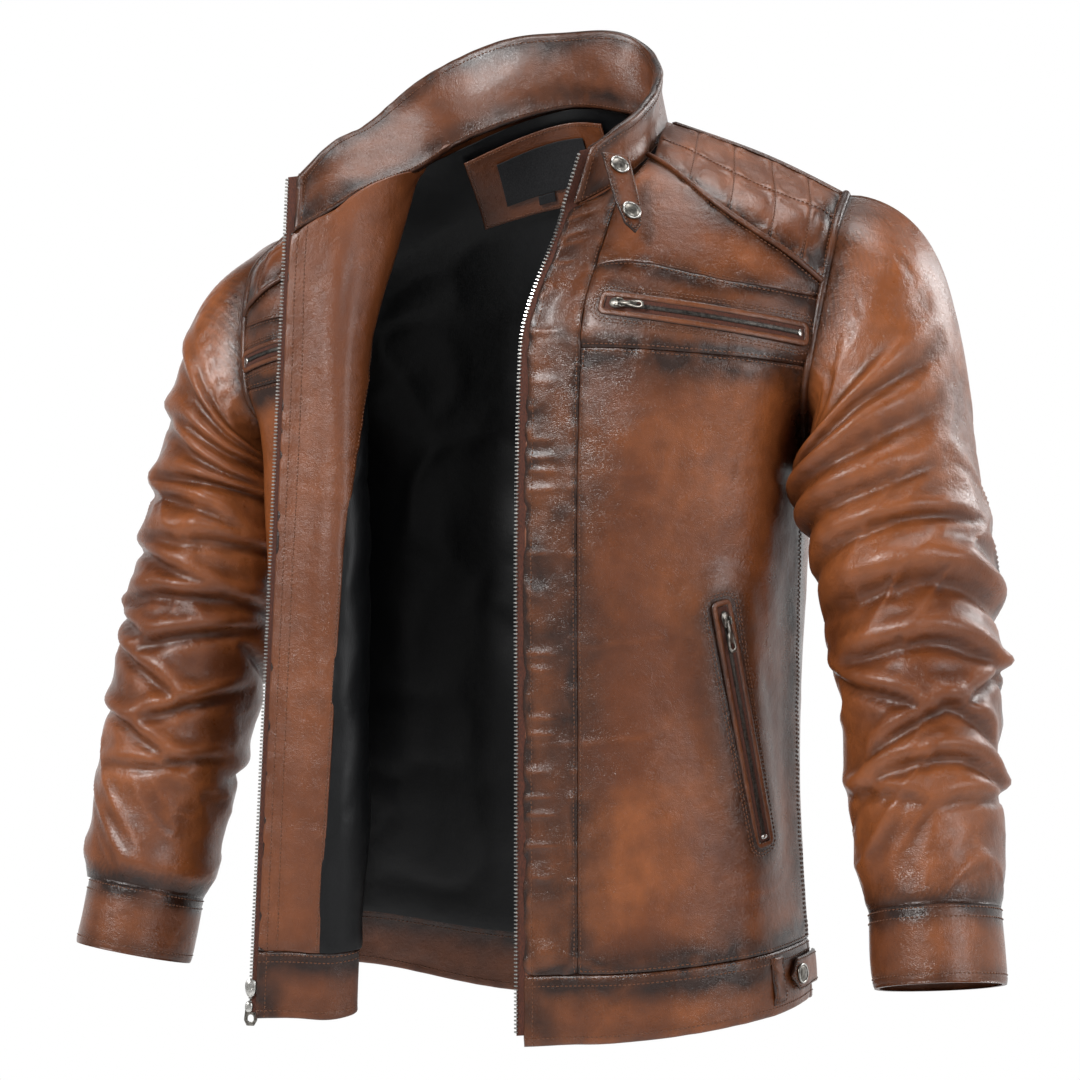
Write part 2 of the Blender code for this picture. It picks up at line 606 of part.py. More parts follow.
def pocket(label, side, track, pull_length, pull_half):
    """Welt, zip, slider and pull of one pocket along its track."""
    stations = np.linspace(-WELT_END, track.length + WELT_END, 12)
    stations[1], stations[-2] = -0.0015, track.length + 0.0015
    laterals = (-WELT_HALF, -SLOT_HALF, SLOT_HALF, WELT_HALF)
    points = [[list(track.place(d, w, 0)) for w in laterals] for d in stations]
    mesh = bpy.data.meshes.new(f"{label}_welt_{side}")
    faces = grid_faces(len(stations), 4, flip=True)
    last_row = len(stations) - 2
    faces = [f for i, f in enumerate(faces) if i % 3 != 1 or i // 3 in (0, last_row)]
    mesh.from_pydata(np.array(points).reshape(-1, 3).tolist(), [], faces)
    welt = add_object(f"{label}_welt_{side}", mesh, "leather")
    solid = welt.modifiers.new("Thickness", "SOLIDIFY")
    solid.thickness = WELT_THICK
    solid.offset = -1
    run = np.linspace(-0.0009, track.length + 0.0009, 12)
    strip(f"{label}_zip_{side}", [[track.place(d, w, 0) for w in (-0.0034, 0.0034)]
                                  for d in run], "gunmetal", WELT_THICK, flip=True)
    hub_frame = track.frame(SLIDER_HALF_LENGTH + 0.0005)
    hub = pivot(f"{label}_slider_{side}_pivot", hub_frame)
    outline_object(f"{label}_slider_{side}", [saddle_section(*POCKET_SLIDER)],
                   SLIDER_HALF_LENGTH, "gunmetal", hub, SECTION_TURN)
    pull_hub = pivot(f"{label}_pull_{side}_pivot",
                     hub_frame @ Matrix.Translation((0, -0.001, HINGE_HEIGHT)))
    outline_object(f"{label}_pull_{side}", pull_outline(pull_length, pull_half),
                   PULL_THICK / 2, "gunmetal", pull_hub, Matrix.Identity(4))


def off_surface(sheet, u, v, height):
    point = Vector(sheet.at(u, v).tolist())
    return point + Vector(sheet.normal(u, v).tolist()) * height


CHEST_RISE = 0.0034                      # pocket zips stand this far off the leather
for side, sheet, inner, outer in (("left", LEFT_FRONT, 0.765, 0.085),
                                  ("right", RIGHT_FRONT, 0.455, 0.085)):
    ends = [off_surface(sheet, u, CHEST_ZIP_V + slope, CHEST_RISE)
            for u, slope in ((inner, 0.002), ((inner + outer) / 2, 0), (outer, -0.001))]
    facing = Vector(sheet.normal((inner + outer) / 2, CHEST_ZIP_V).tolist())
    pocket("chest", side, Track(*ends, facing), 0.0170, 0.0030)

HAND_TOP = (0.400, 0.432)                # hand pocket ends on the pattern
HAND_FOOT = (0.235, 0.205)
for side, sheet, rise in (("left", LEFT_FRONT, 0.0052), ("right", RIGHT_FRONT, 0.0085)):
    top = off_surface(sheet, *HAND_TOP, rise)
    foot = off_surface(sheet, *HAND_FOOT, rise)
    middle_u, middle_v = (np.array(HAND_TOP) + HAND_FOOT) / 2
    facing = Vector(sheet.normal(middle_u, middle_v).tolist())
    pocket("hand", side, Line(top, foot, facing), 0.0210, 0.0036)

# the main zip: a curved left half and a straight right half that carries the slider
heights = np.linspace(0.012, 0.842, 30)
left_line = LEFT_FRONT.at(1, heights)
left_inside = LEFT_FRONT.at(EDGE_U, heights)
left_normal = LEFT_FRONT.normal(0.98, heights)
collar_rise = np.linspace(0.06, 1, 4)[:, None]
collar_front = COLLAR_FOOT[0] + (COLLAR_TOP[0] - COLLAR_FOOT[0]) * collar_rise
step_out = (left_line[-1] - left_inside[-1]) * np.ones((4, 1))
left_line = np.vstack([left_line, collar_front + step_out])
left_inside = np.vstack([left_inside, collar_front])
left_normal = np.vstack([left_normal, np.repeat(left_normal[-1:], 4, axis=0)])
outside = left_line - left_inside
outside = outside / np.linalg.norm(outside, axis=1, keepdims=True)


def left_strip(name, near, far, depth, kind, thickness):
    points = np.stack([left_line + outside * near - left_normal * depth,
                       left_line + outside * far - left_normal * depth], axis=1)
    strip(name, points, kind, thickness, flip=True)


left_strip("zip_tape_left", -TAPE_INNER, -TAPE_OUTER, 0.0004, "tape", TAPE)
left_strip("zip_teeth_left", -ZIP_HALF, ZIP_HALF, -0.0005, "nickel", 2 * ZIP_DEEP)

MAIN_UP = (Vector(zip_line(MAIN_TOP)) - Vector(zip_line(0))).normalized()
MAIN_OUT = -Vector(swung(1, 0, 0))
MAIN_OUT = (MAIN_OUT - MAIN_UP * MAIN_OUT.dot(MAIN_UP)).normalized()
MAIN_FACE = MAIN_OUT.cross(MAIN_UP)


def main_point(height, out, face):
    return Vector(zip_line(height)) + MAIN_OUT * out + MAIN_FACE * face


right_run = np.linspace(MAIN_FOOT, MAIN_TOP, 6)
strip("zip_tape_right", [[main_point(h, w, TAPE / 2) for w in (-TAPE_INNER, -TAPE_OUTER)]
                         for h in np.linspace(0.004, MAIN_TOP, 6)], "tape", TAPE)
strip("zip_teeth_right", [[main_point(h, w, ZIP_DEEP) for w in (-ZIP_HALF, ZIP_HALF)]
                          for h in right_run], "nickel", 2 * ZIP_DEEP)

box_mesh = bpy.data.meshes.new("zip_box")
box_shape = bmesh.new()
bmesh.ops.create_cube(box_shape, size=1, matrix=Matrix.Diagonal((0.0056, 0.0074, 0.0044, 1)))
box_shape.to_mesh(box_mesh)
box_shape.free()
box = add_object("zip_box", box_mesh, "nickel")
box.matrix_local = turned(MAIN_OUT, MAIN_UP, MAIN_FACE, main_point(0.0080, 0.0009, 0))

slider_frame = turned(MAIN_OUT, MAIN_UP, MAIN_FACE, main_point(SLIDER_START, 0, 0))
main_hub = pivot("main_slider_pivot", slider_frame)
MAIN_HALF, MAIN_GAP, MAIN_PLATE, MAIN_EAR = 0.0049, 0.0018, 0.0013, 0.0062
outline_object("main_slider", [hook_section(MAIN_HALF, MAIN_GAP, MAIN_PLATE, MAIN_EAR)], 0.0064,
               "nickel", main_hub, SECTION_TURN)
main_pull_hub = pivot("main_pull_pivot",
                      slider_frame @ Matrix.Translation((0, -0.001, 0.0049)))
outline_object("main_pull", pull_outline(0.0270, 0.0052), 0.0008, "gunmetal", main_pull_hub,
               Matrix.Identity(4))


# ---------------------------------------------------------------- tabs and snaps
def snap_cap(name, parent, frame):
    """A domed press-stud cap facing local Z."""
    mesh = bpy.data.meshes.new(name)
    shape = bmesh.new()
    bmesh.ops.create_cone(shape, cap_ends=True, segments=20, radius1=0.0070, radius2=0.0052,
                          depth=0.0024)
    shape.to_mesh(mesh)
    shape.free()
    made = add_object(name, mesh, "gunmetal", parent)
    made.matrix_local = frame
    return made


TAB_TOP = Vector((0.0955, -0.0915, 0.6000))
TAB_END = Vector((0.1185, -0.1120, 0.5420))
TAB_HALF = 0.0105
TAB_THICK = 0.0024
tab_down = (TAB_END - TAB_TOP).normalized()
tab_face = Vector((0.79, -0.61, 0.12))
tab_face = (tab_face - tab_down * tab_face.dot(tab_down)).normalized()
tab_length = (TAB_END - TAB_TOP).length
tab_frame = turned((-tab_down).cross(tab_face), -tab_down, tab_face, TAB_TOP)
tab_hub = pivot("collar_tab_pivot", tab_frame)
outline_object("collar_tab", [[(-TAB_HALF, 0), (-0.92 * TAB_HALF, -0.62 * tab_length),
                               (-0.60 * TAB_HALF, -0.88 * tab_length), (0, -tab_length),
                               (0.60 * TAB_HALF, -0.88 * tab_length),
                               (0.92 * TAB_HALF, -0.62 * tab_length), (TAB_HALF, 0)]],
               TAB_THICK / 2, "leather", tab_hub, Matrix.Translation((0, 0, TAB_THICK / 2)))
SNAP_OFF = TAB_THICK + 0.0012 + 0.0003
snap_cap("collar_tab_snap", tab_hub,
         Matrix.Translation((0, -0.74 * tab_length, SNAP_OFF)))
snap_cap("collar_stud", tab_hub, Matrix.Translation((0, -0.16 * tab_length, SNAP_OFF)))

WAIST_V = (0.020, 0.058)                 # lower and upper edge of a waist tab on the hem
WAIST_OFF = 0.0042                       # how far a waist tab stands off the hem band


def waist_tab(side, sheet, back_from, back_to):
    """A strap from the back hem round the side seam to its point on the front hem."""
    stations = [(BACK, u) for u in np.linspace(back_from, back_to, 4)]
    stations += [(sheet, u) for u in (0.03, 0.07, 0.11)]
    middle = sum(WAIST_V) / 2
    rows = [[off_surface(s, u, v, WAIST_OFF) for v in (WAIST_V[0], middle, WAIST_V[1])]
            for s, u in stations]
    tip = off_surface(sheet, 0.155, middle, WAIST_OFF)
    near = [tip.lerp(rows[-1][0], 0.35), tip, tip.lerp(rows[-1][2], 0.35)]
    rows.append(near)
    axis_point = rows[0][1]
    upward = (rows[0][2] - rows[0][0]).normalized()
    outward = Vector(BACK.normal(back_from, middle).tolist())
    outward = (outward - upward * outward.dot(upward)).normalized()
    frame = turned(upward.cross(outward), upward, outward, axis_point)
    hub = pivot(f"waist_tab_{side}_pivot", frame)
    home = frame.inverted()
    rows = [[home @ p for p in row] for row in rows]
    strip(f"waist_tab_{side}", rows, "leather", 0.0022, parent=hub, flip=side == "right")
    snap_at = off_surface(sheet, 0.105, middle, WAIST_OFF + 0.0018)
    snap_out = Vector(sheet.normal(0.105, middle).tolist())
    across = upward.cross(snap_out).normalized()
    snap_cap(f"waist_snap_{side}", hub,
             home @ turned(across, snap_out.cross(across), snap_out, snap_at))


waist_tab("left", LEFT_FRONT, 0.075, 0.006)
waist_tab("right", RIGHT_FRONT, 0.925, 0.994)
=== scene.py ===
"""Looks of the open leather riding jacket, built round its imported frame.

Metres, +Z up, the wearer faces -Y and the wearer's left is +X. Shapes are laid out with the
front hem at height 0 and moved down by HANGER as each mesh is made, as in the CAD model.
"""
import bpy
import numpy as np
from math import cos, sin, radians, pi, atan2
from mathutils import Matrix, Vector
from mathutils.bvhtree import BVHTree


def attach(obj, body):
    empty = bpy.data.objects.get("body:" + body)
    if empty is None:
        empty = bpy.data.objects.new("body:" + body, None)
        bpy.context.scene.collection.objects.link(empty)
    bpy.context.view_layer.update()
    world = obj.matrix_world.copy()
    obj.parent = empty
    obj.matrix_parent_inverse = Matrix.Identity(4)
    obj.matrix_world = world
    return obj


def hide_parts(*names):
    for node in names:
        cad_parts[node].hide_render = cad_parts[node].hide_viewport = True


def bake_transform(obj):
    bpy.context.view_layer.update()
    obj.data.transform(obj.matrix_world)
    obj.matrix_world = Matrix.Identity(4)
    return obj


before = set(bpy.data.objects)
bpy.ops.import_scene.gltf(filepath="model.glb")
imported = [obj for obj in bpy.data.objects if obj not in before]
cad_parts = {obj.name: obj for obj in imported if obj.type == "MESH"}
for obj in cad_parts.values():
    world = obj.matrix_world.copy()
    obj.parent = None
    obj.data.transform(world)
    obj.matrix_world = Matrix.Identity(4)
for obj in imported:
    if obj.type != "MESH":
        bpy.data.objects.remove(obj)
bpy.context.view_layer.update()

# ---------------------------------------------------------------- driving dimensions
HANGER = Vector((0, 0.050, 0.668))
LEATHER = 0.0016
TURNED = 0.0044                          # thickness of the folded hem bands
INNER_DEPTH = 0.0054                     # facing and lining below the outer leather
HEM_V = 0.072
BAND_V = (0.700, 0.775)
PLACKET_U = 0.84
ZIP_EDGE = 0.982                         # the turned edge of the leather beside the teeth
EDGE_U = 0.964
SWING_YAW = radians(24)
STITCH = 0.0031                          # stitch pitch
FINE_STITCH = {"pitch": 0.0026, "length": 0.0019}
AXES = range(3)
UP = np.array((0.0, 0.0, 1.0))
ROLL = 0.0016                            # radius of a turned seam edge
ROLL_STEPS = np.array((0.0, 0.12, 0.45))
BURN_WIDTH = 0.011                       # how far the dark burnish spreads from a seam
SPREAD = 1.35                            # every burnish reaches this much further than its own width

# ---------------------------------------------------------------- noise
def lattice(x, y, seed, wrap=0):
    """Smooth noise from 0 to 1 with one bump per unit; it repeats in x every wrap units."""
    x, y = arrays(x, y)
    column, row = np.floor(x).astype(np.int64), np.floor(y).astype(np.int64)
    fx, fy = x - column, y - row
    fx, fy = fx * fx * (3 - 2 * fx), fy * fy * (3 - 2 * fy)

    def corner(i, j):
        i = i % wrap if wrap else i
        mixed = (i * 374761393 + j * 668265263 + seed * 1274126177) & 0xFFFFFFFF
        mixed = ((mixed ^ (mixed >> 13)) * 1103515245) & 0xFFFFFFFF
        return ((mixed ^ (mixed >> 16)) & 0xFFFF) / 65535

    low = corner(column, row) * (1 - fx) + corner(column + 1, row) * fx
    high = corner(column, row + 1) * (1 - fx) + corner(column + 1, row + 1) * fx
    return low * (1 - fy) + high * fy


def ridge(x, y, seed, wrap=0):
    """Noise with sharp crests, like creased leather."""
    return 1 - np.abs(2 * lattice(x, y, seed, wrap) - 1)


def near(distance, width):
    """1 at no distance, fading to nothing over a few widths."""
    return np.exp(-(distance / width) ** 2)


def ease(low, high, x):
    """0 below low and 1 above high, smooth between."""
    t = np.clip((x - low) / (high - low), 0, 1)
    return t * t * (3 - 2 * t)


# ---------------------------------------------------------------- smooth surfaces
def unit(vectors):
    return vectors / np.maximum(np.linalg.norm(vectors, axis=-1, keepdims=True), 1e-9)


def square_to(vectors, way):
    """The part of each vector that is square to a unit vector."""
    return vectors - way * np.sum(vectors * way, axis=-1, keepdims=True)


def sampled(places, run, field):
    """A line of points or vectors, read off at places along its run."""
    return np.stack([np.interp(places, run, field[:, axis]) for axis in AXES], 1)


def arrays(u, v):
    return np.broadcast_arrays(np.asarray(u, float), np.asarray(v, float))


def spline_weights(knots, places):
    """Natural cubic spline: row i holds each knot's weight at places[i]."""
    knots, places = np.asarray(knots, float), np.asarray(places, float)
    count = len(knots)
    step = np.diff(knots)
    system, right = np.zeros((count, count)), np.zeros((count, count))
    system[0, 0] = system[-1, -1] = 1
    for i in range(1, count - 1):
        system[i, i - 1:i + 2] = step[i - 1], 2 * (step[i - 1] + step[i]), step[i]
        right[i, i - 1:i + 2] = 6 / step[i - 1], -6 / step[i - 1] - 6 / step[i], 6 / step[i]
    bend = np.linalg.solve(system, right)
    cell = np.clip(np.searchsorted(knots, places, side="right") - 1, 0, count - 2)
    after = (places - knots[cell]) / step[cell]
    before = 1 - after
    weights = np.zeros((len(places), count))
    rows = np.arange(len(places))
    weights[rows, cell] += before
    weights[rows, cell + 1] += after
    square = step[cell][:, None] ** 2 / 6
    weights += (before**3 - before)[:, None] * square * bend[cell]
    weights += (after**3 - after)[:, None] * square * bend[cell + 1]
    return weights


def monotone(knots, values, places):
    """Cubic through values (place, knot, axis) that never swings past its neighbours."""
    step = np.diff(knots)[None, :, None]
    slope = np.diff(values, axis=1) / step
    before, after = slope[:, :-1], slope[:, 1:]
    same = before * after > 0
    middle = np.where(same, 2 * before * after / np.where(same, before + after, 1), 0)
    tangent = np.concatenate([slope[:, :1], middle, slope[:, -1:]], axis=1)
    cell = np.clip(np.searchsorted(knots, places, side="right") - 1, 0, len(knots) - 2)
    row = np.arange(len(places))
    width = (knots[cell + 1] - knots[cell])[:, None]
    t = (places - knots[cell])[:, None] / width
    rise = 3 * t**2 - 2 * t**3
    return (values[row, cell] * (1 - rise) + values[row, cell + 1] * rise
            + tangent[row, cell] * width * (t**3 - 2 * t**2 + t)
            + tangent[row, cell + 1] * width * (t**3 - t**2))


class Sheet:
    """A smooth surface through rows of points; u runs along a row and v up the rows.

    relief(u, v) is how far the folded leather stands out from it.
    """

    def __init__(self, columns, rows, points, outward, relief=None):
        self.columns, self.rows = columns, rows
        self.points = np.array(points, float)
        self.outward = outward
        self.relief = relief or (lambda u, v: np.zeros_like(u))

    def at(self, u, v):
        u, v = arrays(u, v)
        across = spline_weights(self.columns, u.ravel())
        rows = np.einsum("ni,jic->njc", across, self.points)
        return monotone(np.array(self.rows, float), rows, v.ravel()).reshape(*u.shape, 3)

    def normal(self, u, v, step=0.002):
        u, v = arrays(u, v)
        along = self.at(np.minimum(u + step, 1), v) - self.at(np.maximum(u - step, 0), v)
        upward = self.at(u, np.minimum(v + step, 1)) - self.at(u, np.maximum(v - step, 0))
        return unit(self.outward * np.cross(along, upward))

    def folded(self, u, v):
        """Points of the folded leather, and the sheet's normals there."""
        u, v = arrays(u, v)
        out = self.normal(u, v)
        return self.at(u, v) + out * self.relief(u, v)[..., None], out


def swung(right, front, height):
    """A point given in axes turned about the vertical with the opened front."""
    return (right * cos(SWING_YAW) + front * sin(SWING_YAW),
            right * sin(SWING_YAW) - front * cos(SWING_YAW), height)


def zip_line(height):
    """The straight line of the right half's zip."""
    return swung(-0.2083 + 0.0425 * height, 0.026 - 0.020 * height, height)


def swung_row(heights, *places):
    return [swung(right, front, height) for height, (right, front) in zip(heights, places)]


ROWS = (0, 0.30, 0.55, 0.70, 0.85, 1)
SHOULDER_TIP = (0.224, 0.020, 0.583)
SIDE_NECK = (0.091, 0.031, 0.648)
ARMPIT = (0.198, 0.005, 0.392)

LEFT_FRONT = Sheet((0, 0.28, 0.56, 0.84, 1), ROWS, [
    [(0.203, 0.010, 0.023), (0.186, -0.060, 0.018), (0.138, -0.101, 0.010),
     (0.080, -0.119, 0.003), (0.037, -0.1235, -0.001)],
    [(0.193, 0.010, 0.20), (0.178, -0.060, 0.20), (0.135, -0.102, 0.20),
     (0.081, -0.122, 0.20), (0.038, -0.1255, 0.20)],
    [ARMPIT, (0.190, -0.066, 0.378), (0.144, -0.110, 0.372),
     (0.084, -0.130, 0.37), (0.041, -0.1315, 0.37)],
    [(0.2175, -0.050, 0.456), (0.192, -0.086, 0.459), (0.146, -0.114, 0.463),
     (0.086, -0.129, 0.467), (0.043, -0.130, 0.468)],
    [(0.228, -0.026, 0.545), (0.198, -0.050, 0.553), (0.146, -0.066, 0.568),
     (0.092, -0.072, 0.580), (0.061, -0.098, 0.567)],
    [SHOULDER_TIP, (0.173, 0.024, 0.612), (0.122, 0.028, 0.636),
     (0.070, 0.034, 0.657), (0.040, 0.036, 0.668)],
], -1)

RIGHT_FRONT = Sheet((0, 0.20, 0.38, 0.52, 0.60, 0.68, 0.84, 1), ROWS, [
    [(-0.203, 0.010, 0.023)] + swung_row((0.020, 0.012, 0.006, 0.003, 0, 0),
     (-0.200, -0.045), (-0.180, -0.005), (-0.145, 0.010), (-0.1315, 0.020),
     (-0.143, 0.030), (-0.172, 0.030)) + [zip_line(0)],
    [(-0.193, 0.010, 0.20)] + swung_row((0.20,) * 6,
     (-0.192, -0.045), (-0.175, -0.005), (-0.143, 0.008), (-0.131, 0.018),
     (-0.141, 0.028), (-0.164, 0.027)) + [zip_line(0.20)],
    [(-ARMPIT[0], ARMPIT[1], ARMPIT[2])] + swung_row((0.378, 0.374, 0.37, 0.37, 0.37, 0.37),
     (-0.205, -0.040), (-0.180, -0.008), (-0.145, 0.003), (-0.1315, 0.013),
     (-0.140, 0.023), (-0.159, 0.023)) + [zip_line(0.37)],
    [(-0.2175, -0.050, 0.456)] + swung_row((0.459, 0.463, 0.465, 0.467, 0.467, 0.467),
     (-0.206, -0.026), (-0.178, -0.010), (-0.145, -0.003), (-0.130, 0.007),
     (-0.137, 0.018), (-0.156, 0.021)) + [zip_line(0.467)],
    [(-0.228, -0.026, 0.545)] + swung_row((0.552, 0.560, 0.572, 0.577, 0.580, 0.578),
     (-0.205, -0.048), (-0.168, -0.042), (-0.124, -0.033), (-0.104, -0.022),
     (-0.112, -0.007), (-0.144, 0.009)) + [zip_line(0.568)],
    [(-SHOULDER_TIP[0], SHOULDER_TIP[1], SHOULDER_TIP[2]), (-0.188, 0.023, 0.603),
     (-0.155, 0.026, 0.620), (-0.129, 0.028, 0.632), (-0.114, 0.029, 0.639),
     (-0.099, 0.030, 0.644), (-0.070, 0.034, 0.657), (-0.040, 0.036, 0.668)],
], 1)


def mirrored(row):
    """A row of points across the back, given from the left side to the middle."""
    return row + [(-x, y, z) for x, y, z in reversed(row[:-1])]


BACK = Sheet((0, 0.17, 0.34, 0.5, 0.66, 0.83, 1), ROWS, [
    mirrored([(0.203, 0.010, 0.023), (0.170, 0.086, 0.008), (0.090, 0.120, -0.008),
              (0, 0.130, -0.012)]),
    mirrored([(0.193, 0.010, 0.20), (0.162, 0.080, 0.20), (0.088, 0.111, 0.20),
              (0, 0.118, 0.20)]),
    mirrored([ARMPIT, (0.172, 0.090, 0.386), (0.094, 0.126, 0.39), (0, 0.134, 0.39)]),
    mirrored([(0.207, 0.052, 0.456), (0.174, 0.098, 0.470), (0.094, 0.126, 0.480),
              (0, 0.131, 0.480)]),
    mirrored([(0.222, 0.058, 0.528), (0.176, 0.086, 0.556), (0.095, 0.106, 0.580),
              (0, 0.111, 0.588)]),
    mirrored([SHOULDER_TIP, (0.160, 0.025, 0.618), SIDE_NECK, (0, 0.064, 0.680)]),
], 1)

# ---------------------------------------------------------------- materials
class Finish:
    """A node material whose shader is built up by a few calls."""

    def __init__(self, name, roughness, metallic=0.0, **constants):
        self.material = bpy.data.materials.new(name)
        self.material.use_nodes = True
        self.tree = self.material.node_tree
        self.shader = self.tree.nodes["Principled BSDF"]
        self.shader.inputs["Roughness"].default_value = roughness
        self.shader.inputs["Metallic"].default_value = metallic
        for socket, value in constants.items():
            self.shader.inputs[socket.replace("_", " ")].default_value = value
        self.place = self.tree.nodes.new("ShaderNodeTexCoord").outputs["Object"]

    def link(self, source, target):
        self.tree.links.new(source, target)

    def noise(self, scale, detail=3.0, stretch=(1, 1, 1)):
        mapping = self.tree.nodes.new("ShaderNodeMapping")
        mapping.inputs["Scale"].default_value = stretch
        self.link(self.place, mapping.inputs["Vector"])
        made = self.tree.nodes.new("ShaderNodeTexNoise")
        made.inputs["Scale"].default_value = scale
        made.inputs["Detail"].default_value = detail
        self.link(mapping.outputs["Vector"], made.inputs["Vector"])
        return made.outputs["Fac"]

    def cells(self, scale):
        made = self.tree.nodes.new("ShaderNodeTexVoronoi")
        made.feature = "DISTANCE_TO_EDGE"
        made.inputs["Scale"].default_value = scale
        self.link(self.place, made.inputs["Vector"])
        return made.outputs["Distance"]

    def attribute(self, name):
        made = self.tree.nodes.new("ShaderNodeAttribute")
        made.attribute_name = name
        return made.outputs["Fac"]

    def remap(self, source, low, high, to_low, to_high):
        made = self.tree.nodes.new("ShaderNodeMapRange")
        for socket, value in zip(("From Min", "From Max", "To Min", "To Max"),
                                 (low, high, to_low, to_high)):
            made.inputs[socket].default_value = value
        self.link(source, made.inputs["Value"])
        return made.outputs["Result"]

    def math(self, kind, a, b):
        made = self.tree.nodes.new("ShaderNodeMath")
        made.operation = kind
        for socket, value in zip(made.inputs, (a, b)):
            if isinstance(value, (int, float)):
                socket.default_value = value
            else:
                self.link(value, socket)
        return made.outputs[0]

    def mix(self, factor, first, second):
        made = self.tree.nodes.new("ShaderNodeMix")
        made.data_type = "RGBA"
        self.link(factor, made.inputs["Factor"])
        for socket, colour in ((made.inputs["A"], first), (made.inputs["B"], second)):
            if isinstance(colour, tuple):
                socket.default_value = (*colour, 1)
            else:
                self.link(colour, socket)
        return made.outputs["Result"]

    def colour(self, source):
        if isinstance(source, tuple):
            self.shader.inputs["Base Color"].default_value = (*source, 1)
        else:
            self.link(source, self.shader.inputs["Base Color"])

    def rough(self, source):
        self.link(source, self.shader.inputs["Roughness"])

    def bump(self, *heights):
        """Each height is (source, depth in metres)."""
        normal = None
        for source, depth in heights:
            made = self.tree.nodes.new("ShaderNodeBump")
            made.inputs["Distance"].default_value = depth
            made.inputs["Strength"].default_value = 1.0
            self.link(source, made.inputs["Height"])
            if normal is not None:
                self.link(normal, made.inputs["Normal"])
            normal = made.outputs["Normal"]
        self.link(normal, self.shader.inputs["Normal"])


def leather_finish(name, light, deep, roughness):
    """Pull-up leather: mottled brown, pebbled grain, near-black burnish at the seams that also carries
    painted shade, and a painted highlight on fold crests.
    """
    made = Finish(name, roughness, Coat_Weight=0.14, Coat_Roughness=0.20,
                  Specular_IOR_Level=0.40)
    cloud = made.remap(made.noise(13, 6), 0.38, 0.62, 0, 1)
    mottle = made.remap(made.noise(85, 5), 0.30, 0.70, 0, 1)
    body = made.mix(cloud, light, deep)
    body = made.mix(made.math("MULTIPLY", mottle, 0.45), body, tuple(c * 0.60 for c in deep))
    worn = made.remap(made.noise(45, 5), 0.30, 0.70, 0.62, 1.15)
    # the burnish attribute holds real seam burnish plus painted shade from the sleeve fold hollows and the
    # collar; both darken the colour here
    burnish_and_shade = made.math("MULTIPLY", made.attribute("burnish_and_painted_shade"), worn)
    body = made.mix(made.remap(burnish_and_shade, 0.03, 0.70, 0, 0.95), body, (0.012, 0.005, 0.0032))
    # painted highlight: where the crest attribute rises above 0.6 the colour is mixed towards a lighter
    # brown, as light catching the fold tops
    made.colour(made.mix(made.remap(made.attribute("crest"), 0.60, 1.0, 0, 0.16), body,
                         tuple(min(1, c * 1.5) for c in light)))
    made.rough(made.math("ADD", made.remap(made.noise(60, 3), 0.3, 0.7, -0.06, 0.08),
                         made.remap(made.attribute("burnish_and_painted_shade"), 0, 1, roughness,
                                    roughness - 0.07)))
    made.bump((made.cells(900), 0.00026), (made.noise(420, 4), 0.00024),
              (made.noise(120, 4), 0.0006), (made.noise(32, 3), 0.0013))
    return made.material


def cloth_finish(name, colour, second, roughness, weave, depth, sheen):
    made = Finish(name, roughness, Sheen_Weight=sheen, Sheen_Roughness=0.4, Specular_IOR_Level=0.28)
    made.colour(made.mix(made.remap(made.noise(weave, 2, (1, 1, 0.35)), 0.35, 0.65, 0, 1),
                         colour, second))
    made.bump((made.noise(weave, 2, (1, 1, 0.25)), depth), (made.noise(70, 3), 0.0004))
    return made.material


def metal_finish(name, bright, dull, roughness):
    made = Finish(name, roughness, 1.0)
    made.colour(made.mix(made.remap(made.noise(500, 4), 0.4, 0.7, 0, 1), bright, dull))
    made.rough(made.remap(made.noise(900, 3, (1, 1, 0.1)), 0.3, 0.7, roughness - 0.08,
                          roughness + 0.14))
    made.bump((made.noise(1500, 2), 0.00004))
    return made.material


OUTER = leather_finish("outer_leather", (0.238, 0.070, 0.019), (0.118, 0.032, 0.009), 0.32)
INNER = leather_finish("facing_leather", (0.180, 0.053, 0.016), (0.128, 0.036, 0.011), 0.37)
SATIN = cloth_finish("black_satin", (0.0022, 0.0024, 0.0028), (0.0045, 0.0048, 0.0055),
                     0.42, 1600, 0.00008, 0.0)
WOVEN = cloth_finish("woven_label", (0.008, 0.008, 0.009), (0.020, 0.020, 0.022),
                     0.55, 1300, 0.00018, 0.15)
TAPE = cloth_finish("zip_tape", (0.085, 0.024, 0.012), (0.040, 0.012, 0.007),
                    0.75, 1500, 0.00025, 0.25)
THREAD = cloth_finish("thread", (0.170, 0.060, 0.022), (0.085, 0.028, 0.011),
                      0.55, 2600, 0.00010, 0.20)
NICKEL = metal_finish("nickel", (0.62, 0.61, 0.58), (0.34, 0.33, 0.31), 0.26)
GUNMETAL = metal_finish("gunmetal", (0.24, 0.225, 0.20), (0.075, 0.066, 0.058), 0.34)
DARK_TEETH = metal_finish("dark_teeth", (0.115, 0.105, 0.095), (0.035, 0.032, 0.030), 0.36)


# ---------------------------------------------------------------- mesh making
def as_mesh(name, points, faces, materials, attributes=None, faces_of=None):
    """A smooth mesh at its place in the frame; faces_of gives each face's material."""
    mesh = bpy.data.meshes.new(name)
    mesh.from_pydata((np.asarray(points) - np.array(HANGER)).tolist(), [], faces)
    for material in materials:
        mesh.materials.append(material)
    for label, values in (attributes or {}).items():
        mesh.attributes.new(label, "FLOAT", "POINT").data.foreach_set(
            "value", np.asarray(values, np.float32))
    mesh.shade_smooth()
    if faces_of is not None:
        mesh.polygons.foreach_set("material_index", faces_of)
    made = bpy.data.objects.new(name, mesh)
    bpy.context.scene.collection.objects.link(made)
    return made


def placed(piece, body, slot, *nodes):
    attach(piece, body)
    if nodes:
        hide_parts(*nodes)
    return piece


